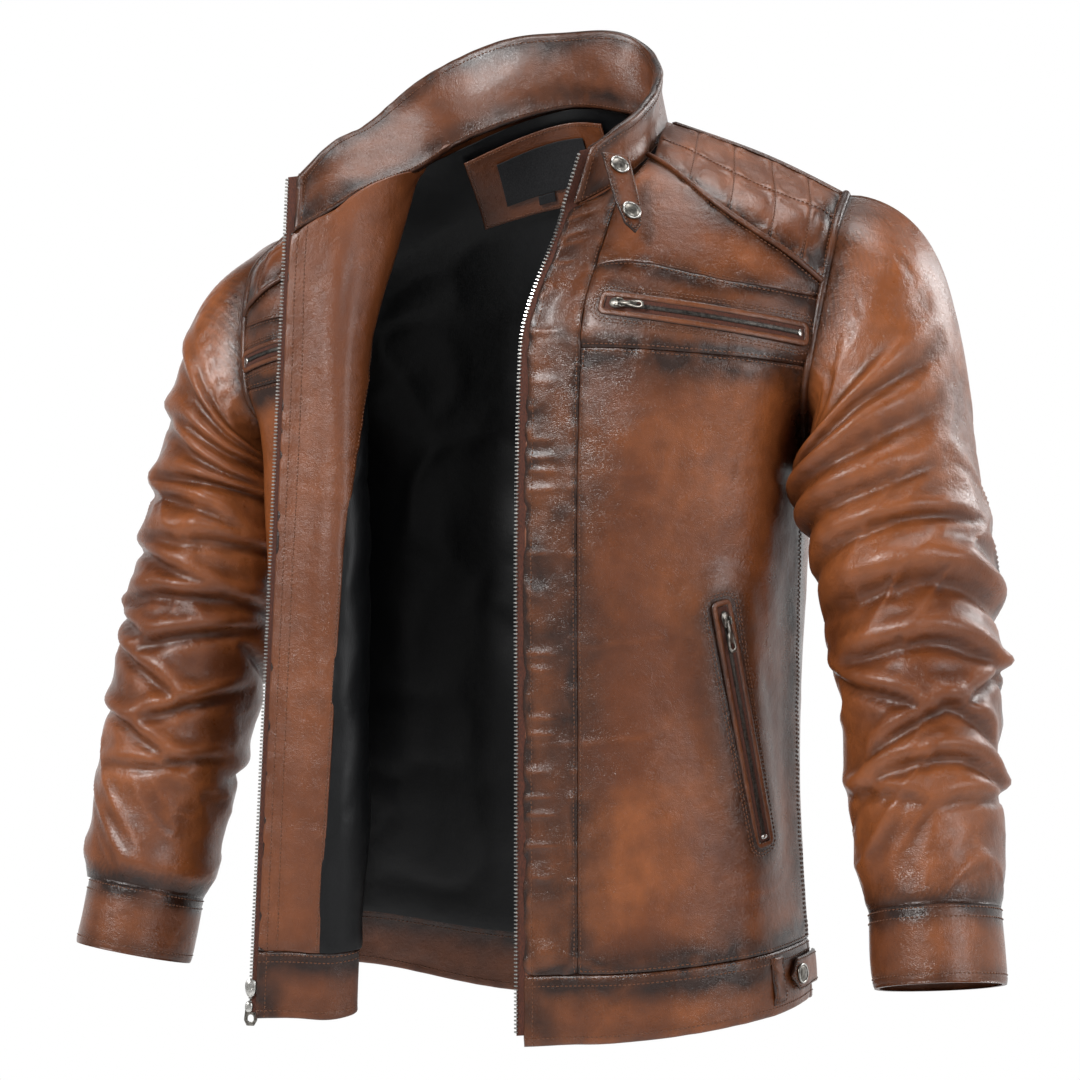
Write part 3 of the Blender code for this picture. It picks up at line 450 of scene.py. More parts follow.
def grid_faces(rows, columns, flip=False, closed=False, start=0):
    j, i = np.meshgrid(np.arange(rows - 1), np.arange(columns if closed else columns - 1),
                       indexing="ij")
    after = (i + 1) % columns
    faces = np.stack([j * columns + i, j * columns + after,
                      (j + 1) * columns + after, (j + 1) * columns + i], -1).reshape(-1, 4)
    return ((faces[:, ::-1] if flip else faces) + start).tolist()


def along(points, places):
    """The points of a drawn line at these shares of its length."""
    points = np.array(points, float)
    run = np.r_[0, np.cumsum(np.linalg.norm(np.diff(points, axis=0), axis=1))]
    return np.stack([np.interp(places * run[-1], run, points[:, k])
                     for k in range(points.shape[1])], axis=1)


def region(bottom, top, s, t, left=None, right=None):
    """A four-sided area of a pattern, as grids of u and v at the places s and t."""
    low, high = along(bottom, s), along(top, s)
    start = along(left or [bottom[0], top[0]], t)
    end = along(right or [bottom[-1], top[-1]], t)
    s, t = s[None, :, None], t[:, None, None]
    grid = (1 - t) * low[None] + t * high[None] + (1 - s) * start[:, None] + s * end[:, None]
    grid = grid - (1 - s) * (1 - t) * low[0] - s * (1 - t) * low[-1]
    grid = grid - (1 - s) * t * high[0] - s * t * high[-1]
    return grid[..., 0], grid[..., 1]


def stations(length, cell, rolls=(ROLL, ROLL)):
    """Places along a length: even cells, with close ones where each end rolls over."""
    first, last = rolls
    body = np.linspace(first, length - last, max(2, round(length / cell) + 1))
    return np.r_[first * ROLL_STEPS, body, length - last * ROLL_STEPS[::-1]] / length


def run_of(points, axis):
    """Distance travelled along the points, from 0 at the first."""
    steps = np.linalg.norm(np.diff(points, axis=axis), axis=-1)
    start = np.zeros_like(np.take(steps, [0], axis=axis))
    return np.concatenate([start, np.cumsum(steps, axis=axis)], axis=axis)


EDGES = ("left", "right", "bottom", "top")
UNBURNT = (0, 0, 0, 0)
CLOSE_SEAM, SEAM = 0.0022, 0.0024        # stitches run this far from an edge


class Piece:
    """A closed piece of leather or cloth on a surface, its edges turned under.

    place(u, v) gives the points and normals of its outer face. burn is how dark each edge
    (left, right, bottom, top) is burnished, and wide is how far that spreads.
    """

    def __init__(self, name, place, bottom, top, finish, cell=0.003, left=None, right=None,
                 thick=LEATHER, burn=(1, 1, 1, 1), wide=BURN_WIDTH, pucker=1.0, back=None,
                 rolls=ROLL, extra=None):
        coarse = np.linspace(0, 1, 9)
        points, _ = place(*region(bottom, top, coarse, coarse, left, right))
        across = run_of(points, 1)[:, -1].mean()
        upward = run_of(points, 0)[-1].mean()
        s, t = stations(across, cell, (rolls, rolls)), stations(upward, cell, (rolls, rolls))
        self.u, self.v = region(bottom, top, s, t, left, right)
        points, self.normals = place(self.u, self.v)
        over, up = run_of(points, 1), run_of(points, 0)
        self.away = {"left": over, "right": over[:, -1:] - over,
                     "bottom": up, "top": up[-1:] - up}
        sink, dark = np.zeros(over.shape), np.zeros(over.shape)
        blotch = 0.55 + 0.9 * lattice(over / 0.045, up / 0.045, 71)
        for edge, weight in zip(EDGES, burn):
            d = self.away[edge]
            inside = np.clip(1 - d / rolls, 0, 1)
            sink = np.maximum(sink, thick / 2 * (1 - np.sqrt(1 - inside**2)))
            run = up if edge in ("left", "right") else over
            wave = lattice(run / 0.0085, d / 0.02, 11) - 0.5
            points = points + self.normals * (pucker * 0.0011 * wave * near(d, 0.007)
                                              - pucker * 0.0005 * near(d, 0.004))[..., None]
            dark = np.maximum(dark, weight * near(d, SPREAD * wide * blotch))
        # extra darkens the piece more: rubbed patches on the placket, round the pockets, and painted shade
        # over the whole collar
        if extra is not None:
            dark = np.maximum(dark, extra(self.u, self.v))
        self.points = points - self.normals * sink[..., None]
        rear = points - self.normals * (thick - sink)[..., None]
        rows, columns = over.shape
        count = rows * columns
        inner = np.arange(count).reshape(rows, columns) + count
        rim = np.ones((rows, columns), bool)
        rim[1:-1, 1:-1] = False
        front_index = np.arange(count).reshape(rows, columns)
        inner[rim] = front_index[rim]
        used = np.r_[np.arange(count), inner[~rim]]
        lookup = np.full(2 * count, -1)
        lookup[used] = np.arange(len(used))
        flat = lookup[inner].ravel()
        self.flip = self.turned_in()
        outside = grid_faces(rows, columns, self.flip)
        inside = [[int(flat[k]) for k in face] for face in grid_faces(rows, columns, not self.flip)]
        every = np.vstack([self.points.reshape(-1, 3), rear[~rim].reshape(-1, 3)])
        # crest sets the painted highlight on fold tops; the burnish values hold seam burnish and any
        # painted shade from extra
        level = self.painted_highlight_levels()
        values = {"burnish_and_painted_shade": np.r_[dark.ravel(), dark[~rim]],
                  "crest": np.r_[level.ravel(), level[~rim]]}
        self.object = as_mesh(name, every, outside + inside, [finish, back or finish], values,
                              [0] * len(outside) + [1] * len(inside))

    def turned_in(self):
        du = self.points[1, 2] - self.points[1, 1]
        dv = self.points[2, 1] - self.points[1, 1]
        return float(np.dot(np.cross(du, dv), self.normals[1, 1])) < 0

    def painted_highlight_levels(self):
        """How far each point stands above its surroundings, 0.5 where it is level; this drives the painted
        highlight on fold crests.
        """
        lift = np.einsum("ijk,ijk->ij", self.points - blurred(self.points, 4), self.normals)
        return np.clip(0.5 + lift / 0.0008, 0, 1)

    def line(self, edge, distance, ends=(0.0015, 0.0015)):
        """Points and normals of a line that runs a distance inside an edge."""
        d = self.away[edge]
        pos, nor = self.points, self.normals
        if edge in ("left", "right"):
            d, pos, nor = d.T, pos.transpose(1, 0, 2), nor.transpose(1, 0, 2)
        if edge in ("right", "top"):
            d, pos, nor = d[::-1], pos[::-1], nor[::-1]
        found = [[np.interp(distance, d[:, k], field[:, k, c]) for c in range(3)]
                 for field in (pos, nor) for k in range(d.shape[1])]
        half = d.shape[1]
        return trimmed(np.array(found[:half]), np.array(found[half:]), ends)


def blurred(points, times):
    """A grid of points, each moved to the mean of its neighbours, times over."""
    for _ in range(times):
        wide = np.pad(points, ((1, 1), (1, 1), (0, 0)), mode="edge")
        points = (wide[:-2, 1:-1] + wide[2:, 1:-1] + wide[1:-1, :-2] + wide[1:-1, 2:]) / 4
    return points


def trimmed(points, normals, ends):
    """A line with its two ends cut back, resampled evenly."""
    run = run_of(points, 0)
    keep = np.linspace(ends[0], run[-1] - ends[1], max(2, int(run[-1] / 0.0015)))
    return tuple(sampled(keep, run, field) for field in (points, normals))


# ---------------------------------------------------------------- stitches
BEAD_RINGS = (-0.62, 0.62)               # where a stitch is thick, as shares of half its length
BEAD_RISE, BEAD_DIP = 0.35, 0.6          # its middle above and its ends below the leather, in radii
stitches = {}


def sew(body, line, pitch=STITCH, length=0.0023, radius=0.00040):
    """Adds a row of stitches along a line of points and normals."""
    points, normals = line
    run = run_of(points, 0)
    count = int(run[-1] / pitch)
    if count < 1:
        return
    places = (np.arange(count) + 0.5) * run[-1] / count
    at = sampled(places, run, points)
    way = unit(sampled(places + length / 2, run, points) - sampled(places - length / 2, run, points))
    out = unit(square_to(sampled(places, run, normals), way))
    side = np.cross(way, out)
    beads = [at + way * -length / 2 - out * radius * BEAD_DIP]
    for step in BEAD_RINGS:
        for turn in range(4):
            a = pi / 2 * turn
            beads.append(at + way * step * length / 2
                         + (side * cos(a) + out * sin(a)) * radius + out * radius * BEAD_RISE)
    beads.append(at + way * length / 2 - out * radius * BEAD_DIP)
    stitches.setdefault(body, []).append(np.stack(beads, 1))


def panel(name, nodes, place, bottom, top, finish=OUTER, seams=(), body="jacket",
          slot="leather", stitch=None, through=0.0, **look):
    """A piece on its body, sewn along seams of (edge, distance).

    through is the thickness to the back face when the stitches show there too.
    """
    made = Piece(name, place, bottom, top, finish, **look)
    placed(made.object, body, slot, *nodes)
    for edge, distance in seams:
        points, normals = made.line(edge, distance)
        sew(body, (points, normals), **(stitch or {}))
        if through:
            sew(body, (points - normals * through, -normals), **(stitch or {}))
    return made


def level(v, last=1.0, first=0.0):
    """A straight edge of a pattern, at one height."""
    return [(first, v), (last, v)]


def bead_faces():
    """One stitch: a point, two rings of four and a point."""
    ring = [(0, 1 + (k + 1) % 4, 1 + k) for k in range(4)]
    wall = [(1 + k, 1 + (k + 1) % 4, 5 + (k + 1) % 4, 5 + k) for k in range(4)]
    return ring + wall + [(9, 5 + k, 5 + (k + 1) % 4) for k in range(4)]


def make_stitches():
    for body, groups in stitches.items():
        beads = np.concatenate(groups)
        faces = [[10 * i + k for k in face] for i in range(len(beads)) for face in bead_faces()]
        piece = as_mesh(f"stitches_{body}", beads.reshape(-1, 3), faces, [THREAD])
        placed(piece, body, "leather")


TUBE_TAPER = 0.35                        # radius at the ends, of 1 between them


def tube(name, points, normals, radius, finish, burn, sides=10, flat=1.0):
    """A round cord of leather along points; flat is its height over its width."""
    points = np.asarray(points, float)
    way = unit(np.gradient(points, axis=0))
    up = unit(square_to(normals, way))
    side = np.cross(way, up)
    turn = np.linspace(0, 2 * pi, sides, endpoint=False)
    taper = np.ones(len(points))
    taper[0] = taper[-1] = TUBE_TAPER
    rings = (points[:, None] + (side[:, None] * np.cos(turn)[None, :, None]
             + up[:, None] * np.sin(turn)[None, :, None] * flat) * radius
             * taper[:, None, None])
    faces = grid_faces(len(points), sides, closed=True)
    last = len(points) * sides
    faces += [list(range(sides))[::-1], list(range(last - sides, last))]
    values = {"burnish_and_painted_shade": np.full(last, burn), "crest": np.full(last, 0.6)}
    return as_mesh(name, rings.reshape(-1, 3), faces, [finish], values)


# ---------------------------------------------------------------- cloth simulation
CLOTH = {"quality": 5, "mass": 0.25, "tension_stiffness": 18, "compression_stiffness": 18,
         "shear_stiffness": 8, "bending_stiffness": 0.6}


def settled(points, pinned, grow, pressure, frames, cap, closed=False):
    """The grid of points after it grows and swells as cloth, no point moving past the cap."""
    rows, columns = points.shape[:2]
    mesh = bpy.data.meshes.new("cloth_work")
    mesh.from_pydata(points.reshape(-1, 3).tolist(), [], grid_faces(rows, columns, closed=closed))
    work = bpy.data.objects.new("cloth_work", mesh)
    bpy.context.scene.collection.objects.link(work)
    group = work.vertex_groups.new(name="held")
    for index, weight in enumerate(pinned.ravel()):
        if weight > 0:
            group.add([index], float(weight), "REPLACE")
    cloth = work.modifiers.new("Cloth", "CLOTH")
    for setting, value in CLOTH.items():
        setattr(cloth.settings, setting, value)
    cloth.settings.shrink_min = -grow
    cloth.settings.vertex_group_mass = "held"
    cloth.settings.effector_weights.gravity = 0
    cloth.settings.use_pressure = pressure != 0
    cloth.settings.uniform_pressure_force = pressure
    cloth.collision_settings.use_collision = False
    cloth.point_cache.frame_start, cloth.point_cache.frame_end = 1, frames
    scene = bpy.context.scene
    for step in range(1, frames + 1):
        scene.frame_set(step)
    result = work.evaluated_get(bpy.context.evaluated_depsgraph_get()).data
    moved = np.empty(rows * columns * 3, np.float32)
    result.vertices.foreach_get("co", moved)
    bpy.data.objects.remove(work)
    bpy.data.meshes.remove(mesh)
    scene.frame_set(1)
    shift = moved.reshape(points.shape).astype(float) - points
    length = np.linalg.norm(shift, axis=-1, keepdims=True)
    shift *= cap * np.tanh(length / cap) / np.maximum(length, 1e-9)
    return points + shift


# ---------------------------------------------------------------- zip paths and pocket places
def turned(across, along_it, outward, point):
    """The matrix with these three axes at a point."""
    made = Matrix((across, along_it, outward)).transposed().to_4x4()
    made.translation = point
    return made


class Track:
    """A pocket zip's path: an arc round cloth that is round."""

    def __init__(self, first, middle, last, facing):
        self.start = first
        chord = last - first
        out = middle - first - chord * (middle - first).dot(chord) / chord.length_squared
        sagitta = out.length
        self.radius = chord.length**2 / 8 / sagitta + sagitta / 2
        self.centre = (first + last) / 2 + out.normalized() * (sagitta - self.radius)
        self.axis = (first - self.centre).cross(last - self.centre).normalized()
        self.length = self.radius * (first - self.centre).angle(last - self.centre)
        spoke = (middle - self.centre).normalized()
        self.tilt = atan2(facing.dot(self.axis), facing.dot(spoke))

    def frame(self, distance):
        spoke = self.start - self.centre
        spoke.rotate(Matrix.Rotation(distance / self.radius, 3, self.axis))
        radial = spoke.normalized()
        travel = self.axis.cross(radial)
        outward = radial * cos(self.tilt) + self.axis * sin(self.tilt)
        return turned((-travel).cross(outward), -travel, outward, self.centre + spoke)


class Line(Track):
    """A straight zip path."""

    def __init__(self, first, last, outward):
        self.start = first
        self.travel = (last - first).normalized()
        self.outward = (outward - self.travel * outward.dot(self.travel)).normalized()
        self.length = (last - first).length

    def frame(self, distance):
        return turned((-self.travel).cross(self.outward), -self.travel, self.outward,
                      self.start + self.travel * distance)


def on_track(track, distance, across, height):
    """Points beside a track, and the track's outward normals, for arrays of places."""
    shape = np.shape(distance)
    frames = np.array([track.frame(float(d)) for d in np.ravel(distance)])
    local = np.stack([np.ravel(across), np.zeros(frames.shape[0]), np.ravel(height)], 1)
    points = np.einsum("nij,nj->ni", frames[:, :3, :3], local) + frames[:, :3, 3]
    return points.reshape(*shape, 3), frames[:, :3, 2].reshape(*shape, 3)


def off_surface(sheet, u, v, height):
    return Vector(sheet.at(u, v).tolist()) + Vector(sheet.normal(u, v).tolist()) * height


CHEST_ZIP_V, CHEST_RISE, CHEST_OUTER = 0.736, 0.0034, 0.085
INNER_UP, OUTER_DOWN = 0.002, 0.001      # the chest zip's slope, at its inner and outer ends
HAND_TOP, HAND_FOOT = (0.400, 0.432), (0.235, 0.205)
POCKET_BED = 0.0013                      # leather under a pocket zip, below the zip's face


def pocket_tracks(sheet, inner, hand_rise):
    """The chest and hand zips of a front: each path and its two ends in u and v."""
    half_way = (inner + CHEST_OUTER) / 2
    ends = [off_surface(sheet, u, CHEST_ZIP_V + slope, CHEST_RISE)
            for u, slope in ((inner, INNER_UP), (half_way, 0), (CHEST_OUTER, -OUTER_DOWN))]
    facing = Vector(sheet.normal(half_way, CHEST_ZIP_V).tolist())
    chest = Track(*ends, facing)
    middle = (np.array(HAND_TOP) + HAND_FOOT) / 2
    hand = Line(*(off_surface(sheet, *end, hand_rise) for end in (HAND_TOP, HAND_FOOT)),
                Vector(sheet.normal(*middle).tolist()))
    return ((chest, (inner, CHEST_ZIP_V + INNER_UP), (CHEST_OUTER, CHEST_ZIP_V - OUTER_DOWN)),
            (hand, HAND_TOP, HAND_FOOT))


def pocket_lift(sheet, track, first, last):
    """A function of u and v: the leather's height at a pocket, how much of it counts, and the
    distance from the zip.
    """
    first, last = np.array(first), np.array(last)
    middle = (first + last) / 2
    steps = np.array(((0.01, 0), (0, 0.01)))
    scale = np.array([np.linalg.norm(sheet.at(*(middle + step)) - sheet.at(*(middle - step))) / 0.02
                      for step in steps])
    axis = (last - first) * scale
    share = np.linspace(0, 1, 9)
    places = first + (last - first) * share[:, None]
    points, _ = on_track(track, share * track.length, share * 0, share * 0)
    rise = np.einsum("ij,ij->i", points - sheet.at(places[:, 0], places[:, 1]),
                     sheet.normal(places[:, 0], places[:, 1])) - POCKET_BED

    def found(u, v):
        x, y = (u - first[0]) * scale[0], (v - first[1]) * scale[1]
        t = np.clip((x * axis[0] + y * axis[1]) / (axis @ axis), 0, 1)
        d = np.hypot(x - t * axis[0], y - t * axis[1])
        return np.interp(t, share, rise), 1 - ease(0.012, 0.036, d), d

    return found


FRONT_TALL, FRONT_WIDE, BACK_WIDE = 0.66, 0.26, 0.46


def torso_relief(seed, width, lifts=(), both_sides=False):
    """Drape, creases and pocket beds of one sheet of the body."""
    def relief(u, v):
        x, y = u * width, v * FRONT_TALL
        warp = lattice(x / 0.06, y / 0.06, seed + 2)
        broad = 0.0080 * (lattice(x / 0.080, y / 0.150, seed) - 0.5)
        soft = 0.0024 * (lattice(x / 0.042 + warp, y / 0.065, seed + 1) - 0.5)
        crease = 0.0006 * ridge(x / 0.10 + warp, y / 0.034 + 1.5 * warp, seed + 3) ** 3
        hold = ease(0, 0.10, u) * ease(0, 0.06, 1 - v)
        hold = hold * ease(0, 0.10 if both_sides else 0.12, 1 - u)
        height = (broad + soft + crease) * hold
        for lift in lifts:
            rise, share, _ = lift(u, v)
            height = height * (1 - share) + rise * share
        return height
    return relief


# each front: its sheet, the inner end of its chest zip, the rise of its hand zip, its seed
SIDES = {"left": (LEFT_FRONT, 0.765, 0.0052, 31), "right": (RIGHT_FRONT, 0.455, 0.0085, 47)}
POCKETS, LIFTS = {}, {}
for side, (sheet, inner, rise, seed) in SIDES.items():
    POCKETS[side] = pocket_tracks(sheet, inner, rise)
    LIFTS[side] = [pocket_lift(sheet, *pocket) for pocket in POCKETS[side]]
    sheet.relief = torso_relief(seed, FRONT_WIDE, LIFTS[side])
BACK.relief = torso_relief(63, BACK_WIDE, both_sides=True)

# ---------------------------------------------------------------- quilting
QUILT = (5, 2)                           # padded cells along the shoulder and across it
QUILT_HEIGHT = 0.0021


def quilt_heights():
    """Heights of a sewn pad over the unit square, swollen as cloth between its seams."""
    across, upward = 12 * QUILT[0] + 1, 12 * QUILT[1] + 1
    s, t = np.meshgrid(np.linspace(0, 1, across), np.linspace(0, 1, upward))
    seam = np.maximum(1 - np.abs(np.sin(pi * QUILT[0] * s)) / 0.25,
                      1 - np.abs(np.sin(pi * QUILT[1] * t)) / 0.25)
    shape = (np.abs(np.sin(pi * QUILT[0] * s)) * np.abs(np.sin(pi * QUILT[1] * t))) ** 0.5
    flat = np.stack([s * 0.20, t * 0.078, shape * 0.0006], -1)
    swollen = settled(flat, (seam > 0.9).astype(float), grow=0.03, pressure=3.0, frames=14,
                      cap=0.006)[..., 2]
    swollen = np.clip(swollen, 0, None)
    return 0.35 * shape + 0.65 * swollen / max(swollen.max(), 1e-6)


QUILT_GRID = quilt_heights()


def quilt(s, t):
    """Height of the sewn pad, read off the grid."""
    rows, columns = QUILT_GRID.shape
    x, y = np.clip(s, 0, 1) * (columns - 1.001), np.clip(t, 0, 1) * (rows - 1.001)
    i, j = x.astype(int), y.astype(int)
    fx, fy = x - i, y - j
    low = QUILT_GRID[j, i] * (1 - fx) + QUILT_GRID[j, i + 1] * fx
    high = QUILT_GRID[j + 1, i] * (1 - fx) + QUILT_GRID[j + 1, i + 1] * fx
    return low * (1 - fy) + high * fy


def yoke_v(u):
    """The seam under the quilted shoulder."""
    return 0.790 + 0.10 * u + 0.055 * u**2


def yoke_seam(first, last):
    return [(u, yoke_v(u)) for u in np.linspace(first, last, 8)]


SHOULDER_V, SHOULDER_U = 0.992, 0.760


def shoulder_place(sheet):
    def place(u, v):
        points, normals = sheet.folded(u, v)
        t = (v - yoke_v(u)) / (SHOULDER_V - yoke_v(u))
        return points + normals * (QUILT_HEIGHT * quilt(u / SHOULDER_U, t))[..., None], normals
    return place


# ---------------------------------------------------------------- body panels
def inward(place, depth):
    """The same surface seen from inside the jacket: depth(u) below the outer leather."""
    def found(u, v):
        points, normals = place(u, v)
        return points - normals * depth(u, v)[..., None], -normals
    return found


HEM_ROLL = 0.0020
HEM_SEAMS = (("top", SEAM), ("top", 0.0072), ("bottom", 0.0056))
FACING_SEAM = [(0.765, HEM_V), (0.70, 0.50), (0.58, 0.75), (0.60, 0.965)]
FRONT_TOP, COLLAR_TURN, ZIP_TOP = 0.862, (0.802, 0.872), (ZIP_EDGE, 0.843)
LINING_FOOT = HEM_V - 0.004
SATIN_LOOK = {"thick": 0.0008, "rolls": 0.0006, "burn": UNBURNT}


def lining_place(sheet, seed):
    """The lining hangs loose under the facing, crumpled lengthwise."""
    def place(u, v):
        points, normals = sheet.folded(u, v)
        x, y = u * 0.30, v * FRONT_TALL
        warp = lattice(x / 0.05, y / 0.05, seed)
        crumple = 0.0022 * ridge(x / 0.030 + warp, y / 0.055 + warp, seed + 1) ** 2
        return points - normals * (INNER_DEPTH + 0.0022 - crumple)[..., None], -normals
    return place


def front_panels(side, sheet):
    """One front from the hem up, then its facing, its lining and the piping of its yoke."""
    plain, seam = sheet.folded, PLACKET_U
    low, high = BAND_V
    chest_lift, hand_lift = LIFTS[side]

    def around_pockets(u, v):
        return np.maximum(near(hand_lift(u, v)[2], 0.023),
                          0.75 * near(chest_lift(u, v)[2], 0.021))

    def facing_depth(u, v):
        return LEATHER + INNER_DEPTH - (INNER_DEPTH - 0.0024) * ease(0.78, 0.95, u)

    panel(f"hem_{side}", [f"hem_band_{side}"], plain, level(0, ZIP_EDGE), level(HEM_V, ZIP_EDGE),
          thick=TURNED, rolls=HEM_ROLL, burn=(0.5, 0.8, 0.3, 1.0), wide=0.019, back=INNER,
          seams=HEM_SEAMS + (("right", 0.0068),), through=TURNED)
    panel(f"front_{side}", [f"front_panel_{side}"], plain, level(HEM_V, seam), level(low, seam),
          burn=(0.75, 0.55, 1.0, 0.9), wide=0.016, extra=around_pockets,
          seams=(("bottom", CLOSE_SEAM), ("right", CLOSE_SEAM), ("left", SEAM), ("top", CLOSE_SEAM)))
    panel(f"chest_{side}", [f"chest_band_{side}"], plain, level(low, seam), level(high, seam),
          cell=0.0022, burn=(0.9, 0.6, 0.95, 0.85), wide=0.013, extra=around_pockets,
          seams=(("bottom", SEAM), ("top", SEAM)))
    panel(f"upper_front_{side}_leather", [f"upper_front_{side}"], plain, level(high, seam),
          yoke_seam(0, 0.775) + [COLLAR_TURN, (seam, FRONT_TOP)], cell=0.0024,
          burn=(0.9, 0.5, 0.55, 0.8), wide=0.012, seams=(("bottom", CLOSE_SEAM), ("top", 0.0030)))
    pad = panel(f"shoulder_{side}_pad", [f"shoulder_panel_{side}"], shoulder_place(sheet),
                yoke_seam(0, SHOULDER_U), level(SHOULDER_V, SHOULDER_U), cell=0.0020,
                burn=(1.0, 0.25, 0.85, 0.30), wide=0.014, pucker=0.6,
                seams=(("bottom", 0.0032), ("left", 0.0030)))
    for k in range(1, QUILT[0]):
        quilt_seam(pad, s=k / QUILT[0])
    quilt_seam(pad, t=0.5)
    panel(f"placket_{side}_leather", [f"placket_{side}"], puckered(sheet),
          level(HEM_V, ZIP_EDGE, seam), [(seam, FRONT_TOP), ZIP_TOP], cell=0.0018,
          burn=(0.75, 0.85, 0.9, 0.9), wide=0.0075, pucker=2.0, extra=placket_tone,
          seams=(("left", SEAM), ("right", 0.0062)))
    panel(f"facing_{side}_leather", [f"facing_{side}"], inward(plain, facing_depth),
          [FACING_SEAM[0], (ZIP_EDGE, HEM_V)],
          [FACING_SEAM[-1], (0.70, 0.955), (0.775, 0.920), (0.86, 0.858), ZIP_TOP],
          INNER, slot="leather_inner", left=FACING_SEAM, burn=(0.10, 0.12, 0.25, 0.15),
          pucker=1.2, seams=(("right", 0.0064), ("right", 0.0140), ("left", CLOSE_SEAM)))
    panel(f"lining_{side}_satin", [f"lining_front_{side}"], lining_place(sheet, 83),
          level(LINING_FOOT, 0.775, 0.004), level(0.975, 0.610, 0.004), SATIN, slot="lining",
          cell=0.0045, right=[(u + 0.010, v) for u, v in FACING_SEAM], pucker=1.6, **SATIN_LOOK)
    u, v = along(yoke_seam(0.004, 0.790), np.linspace(0, 1, 90)).T
    points, normals = plain(u, v)
    cord = tube(f"yoke_piping_{side}", points + normals * 0.0010, normals, 0.0019, OUTER, 0.42)
    placed(cord, "jacket", "leather")


def puckered(sheet):
    """The placket's surface: the zip's stitching gathers it into short ripples."""
    def place(u, v):
        points, normals = sheet.folded(u, v)
        across = (u - PLACKET_U) / (ZIP_EDGE - PLACKET_U)
        hold = near(across - 0.72, 0.30) + 0.45 * near(across - 0.05, 0.16)
        ripple = ridge(across * 1.2 + 0.5 * lattice(u * 20, v * 30, 8), v * 62, 9) ** 1.4 - 0.4
        lift = 0.0019 * ripple * hold * ease(0.0, 0.10, 1 - across)
        return points + normals * lift[..., None], normals
    return place


def placket_tone(u, v):
    """The placket is rubbed dark all over, in patches."""
    return 0.34 + 0.34 * lattice(u * 7, v * 30, 5)


def quilt_seam(pad, s=None, t=None):
    """A row of stitches across the pad at s, or lengthwise at t."""
    if s is not None:
        column = int(np.argmin(np.abs(pad.u[0] - s * SHOULDER_U)))
        line = pad.points[:, column], pad.normals[:, column]
    else:
        up = pad.away["bottom"].mean(1)
        row = int(np.argmin(np.abs(up - t * up[-1])))
        line = pad.points[row], pad.normals[row]
    sew("jacket", trimmed(line[0] + line[1] * 0.0003, line[1], (0.004, 0.004)), length=0.0024)


for side, (sheet, *_) in SIDES.items():
    front_panels(side, sheet)

BACK_HIGH, BACK_TOP, NECK_V = BAND_V[1], 0.992, 0.999
BACK_NECK = (0.335, 0.365)               # where the back's top rises to the neckline
panel("hem_back", ["back_hem_band"], BACK.folded, level(0), level(HEM_V), cell=0.0034,
      thick=TURNED, rolls=HEM_ROLL, burn=(0.5, 0.5, 0.25, 1.0), wide=0.014, back=INNER,
      seams=HEM_SEAMS, through=TURNED)
back_body = panel("back_main", ["back_panel"], BACK.folded, level(HEM_V), level(BACK_HIGH),
                  cell=0.0036, burn=(0.7, 0.7, 0.95, 0.85), wide=0.016)
rise = [(0, BACK_TOP), (BACK_NECK[0], BACK_TOP), (BACK_NECK[1], NECK_V)]
fall = [(0.635, NECK_V), (0.665, BACK_TOP), (1, BACK_TOP)]
back_top = panel("back_upper", ["back_yoke"], BACK.folded, level(BACK_HIGH), rise + fall,
                 cell=0.0034, burn=(0.9, 0.9, 0.7, 0.5), wide=0.014)
for piece, edges in ((back_body, ("top", "bottom")), (back_top, ("bottom",)),
                     (back_body, ("left", "right")), (back_top, ("left", "right"))):
    for edge in edges:
        sew("jacket", piece.line(edge, SEAM))
panel("lining_back_satin", ["lining_back"], lining_place(BACK, 91), level(LINING_FOOT, 0.996, 0.004),
      level(0.990, 0.996, 0.004), SATIN, slot="lining", cell=0.0055, pucker=1.0, **SATIN_LOOK)


RIDGE_V = 0.996                          # the line of the shoulder ridge


def shoulder_tape(side, sheet, sign):
    """The lapped seam along the shoulder ridge, where front and back meet."""
    places = np.linspace(0, 1, 60)
    front = sheet.at(places * 0.735, RIDGE_V)
    back_u = places * BACK_NECK[0] if sign > 0 else 1 - places * BACK_NECK[0]
    rear = BACK.at(back_u, RIDGE_V)
    middle = (front + rear) / 2 - UP * 0.0002
    cord = tube(f"shoulder_seam_{side}", middle, UP, 0.0036, OUTER, 0.55, 12, 0.50)
    placed(cord, "jacket", "leather")


shoulder_tape("left", LEFT_FRONT, 1)
shoulder_tape("right", RIGHT_FRONT, -1)

# ---------------------------------------------------------------- neck patch and label
PATCH_DEPTH = 0.0125


def inside_back(depth):
    return inward(BACK.folded, lambda u, v: np.full(u.shape, depth))


panel("neck_leather_patch", ["neck_patch"], inside_back(PATCH_DEPTH), level(0.881, 0.65, 0.455),
      level(0.977, 0.65, 0.455), INNER, slot="leather_inner", cell=0.0016, wide=0.004, pucker=0.4,
      burn=(0.25, 0.25, 0.25, 0.25), stitch=FINE_STITCH, seams=[(e, CLOSE_SEAM) for e in EDGES])
panel("blank_woven_label", ["blank_label"], inside_back(PATCH_DEPTH + 0.0021),
      level(0.904, 0.612, 0.490), level(0.960, 0.612, 0.490), WOVEN, slot="label", cell=0.0014,
      thick=0.0006, rolls=0.0004, burn=UNBURNT, pucker=0.3)
panel("size_tag", [], inside_back(PATCH_DEPTH + 0.0023), level(0.892, 0.568, 0.545),
      level(0.9035, 0.568, 0.545), WOVEN, slot="label", cell=0.0012, thick=0.0005, rolls=0.0003,
      burn=UNBURNT, pucker=0.0)

# ---------------------------------------------------------------- collar
NECK = [(0.735, 1.0), (0.765, 0.955), (0.802, 0.893), (0.875, 0.856), (EDGE_U, 0.846)]


def neck_points(sheet):
    drawn = np.array(NECK)
    return sheet.at(drawn[:, 0], drawn[:, 1])


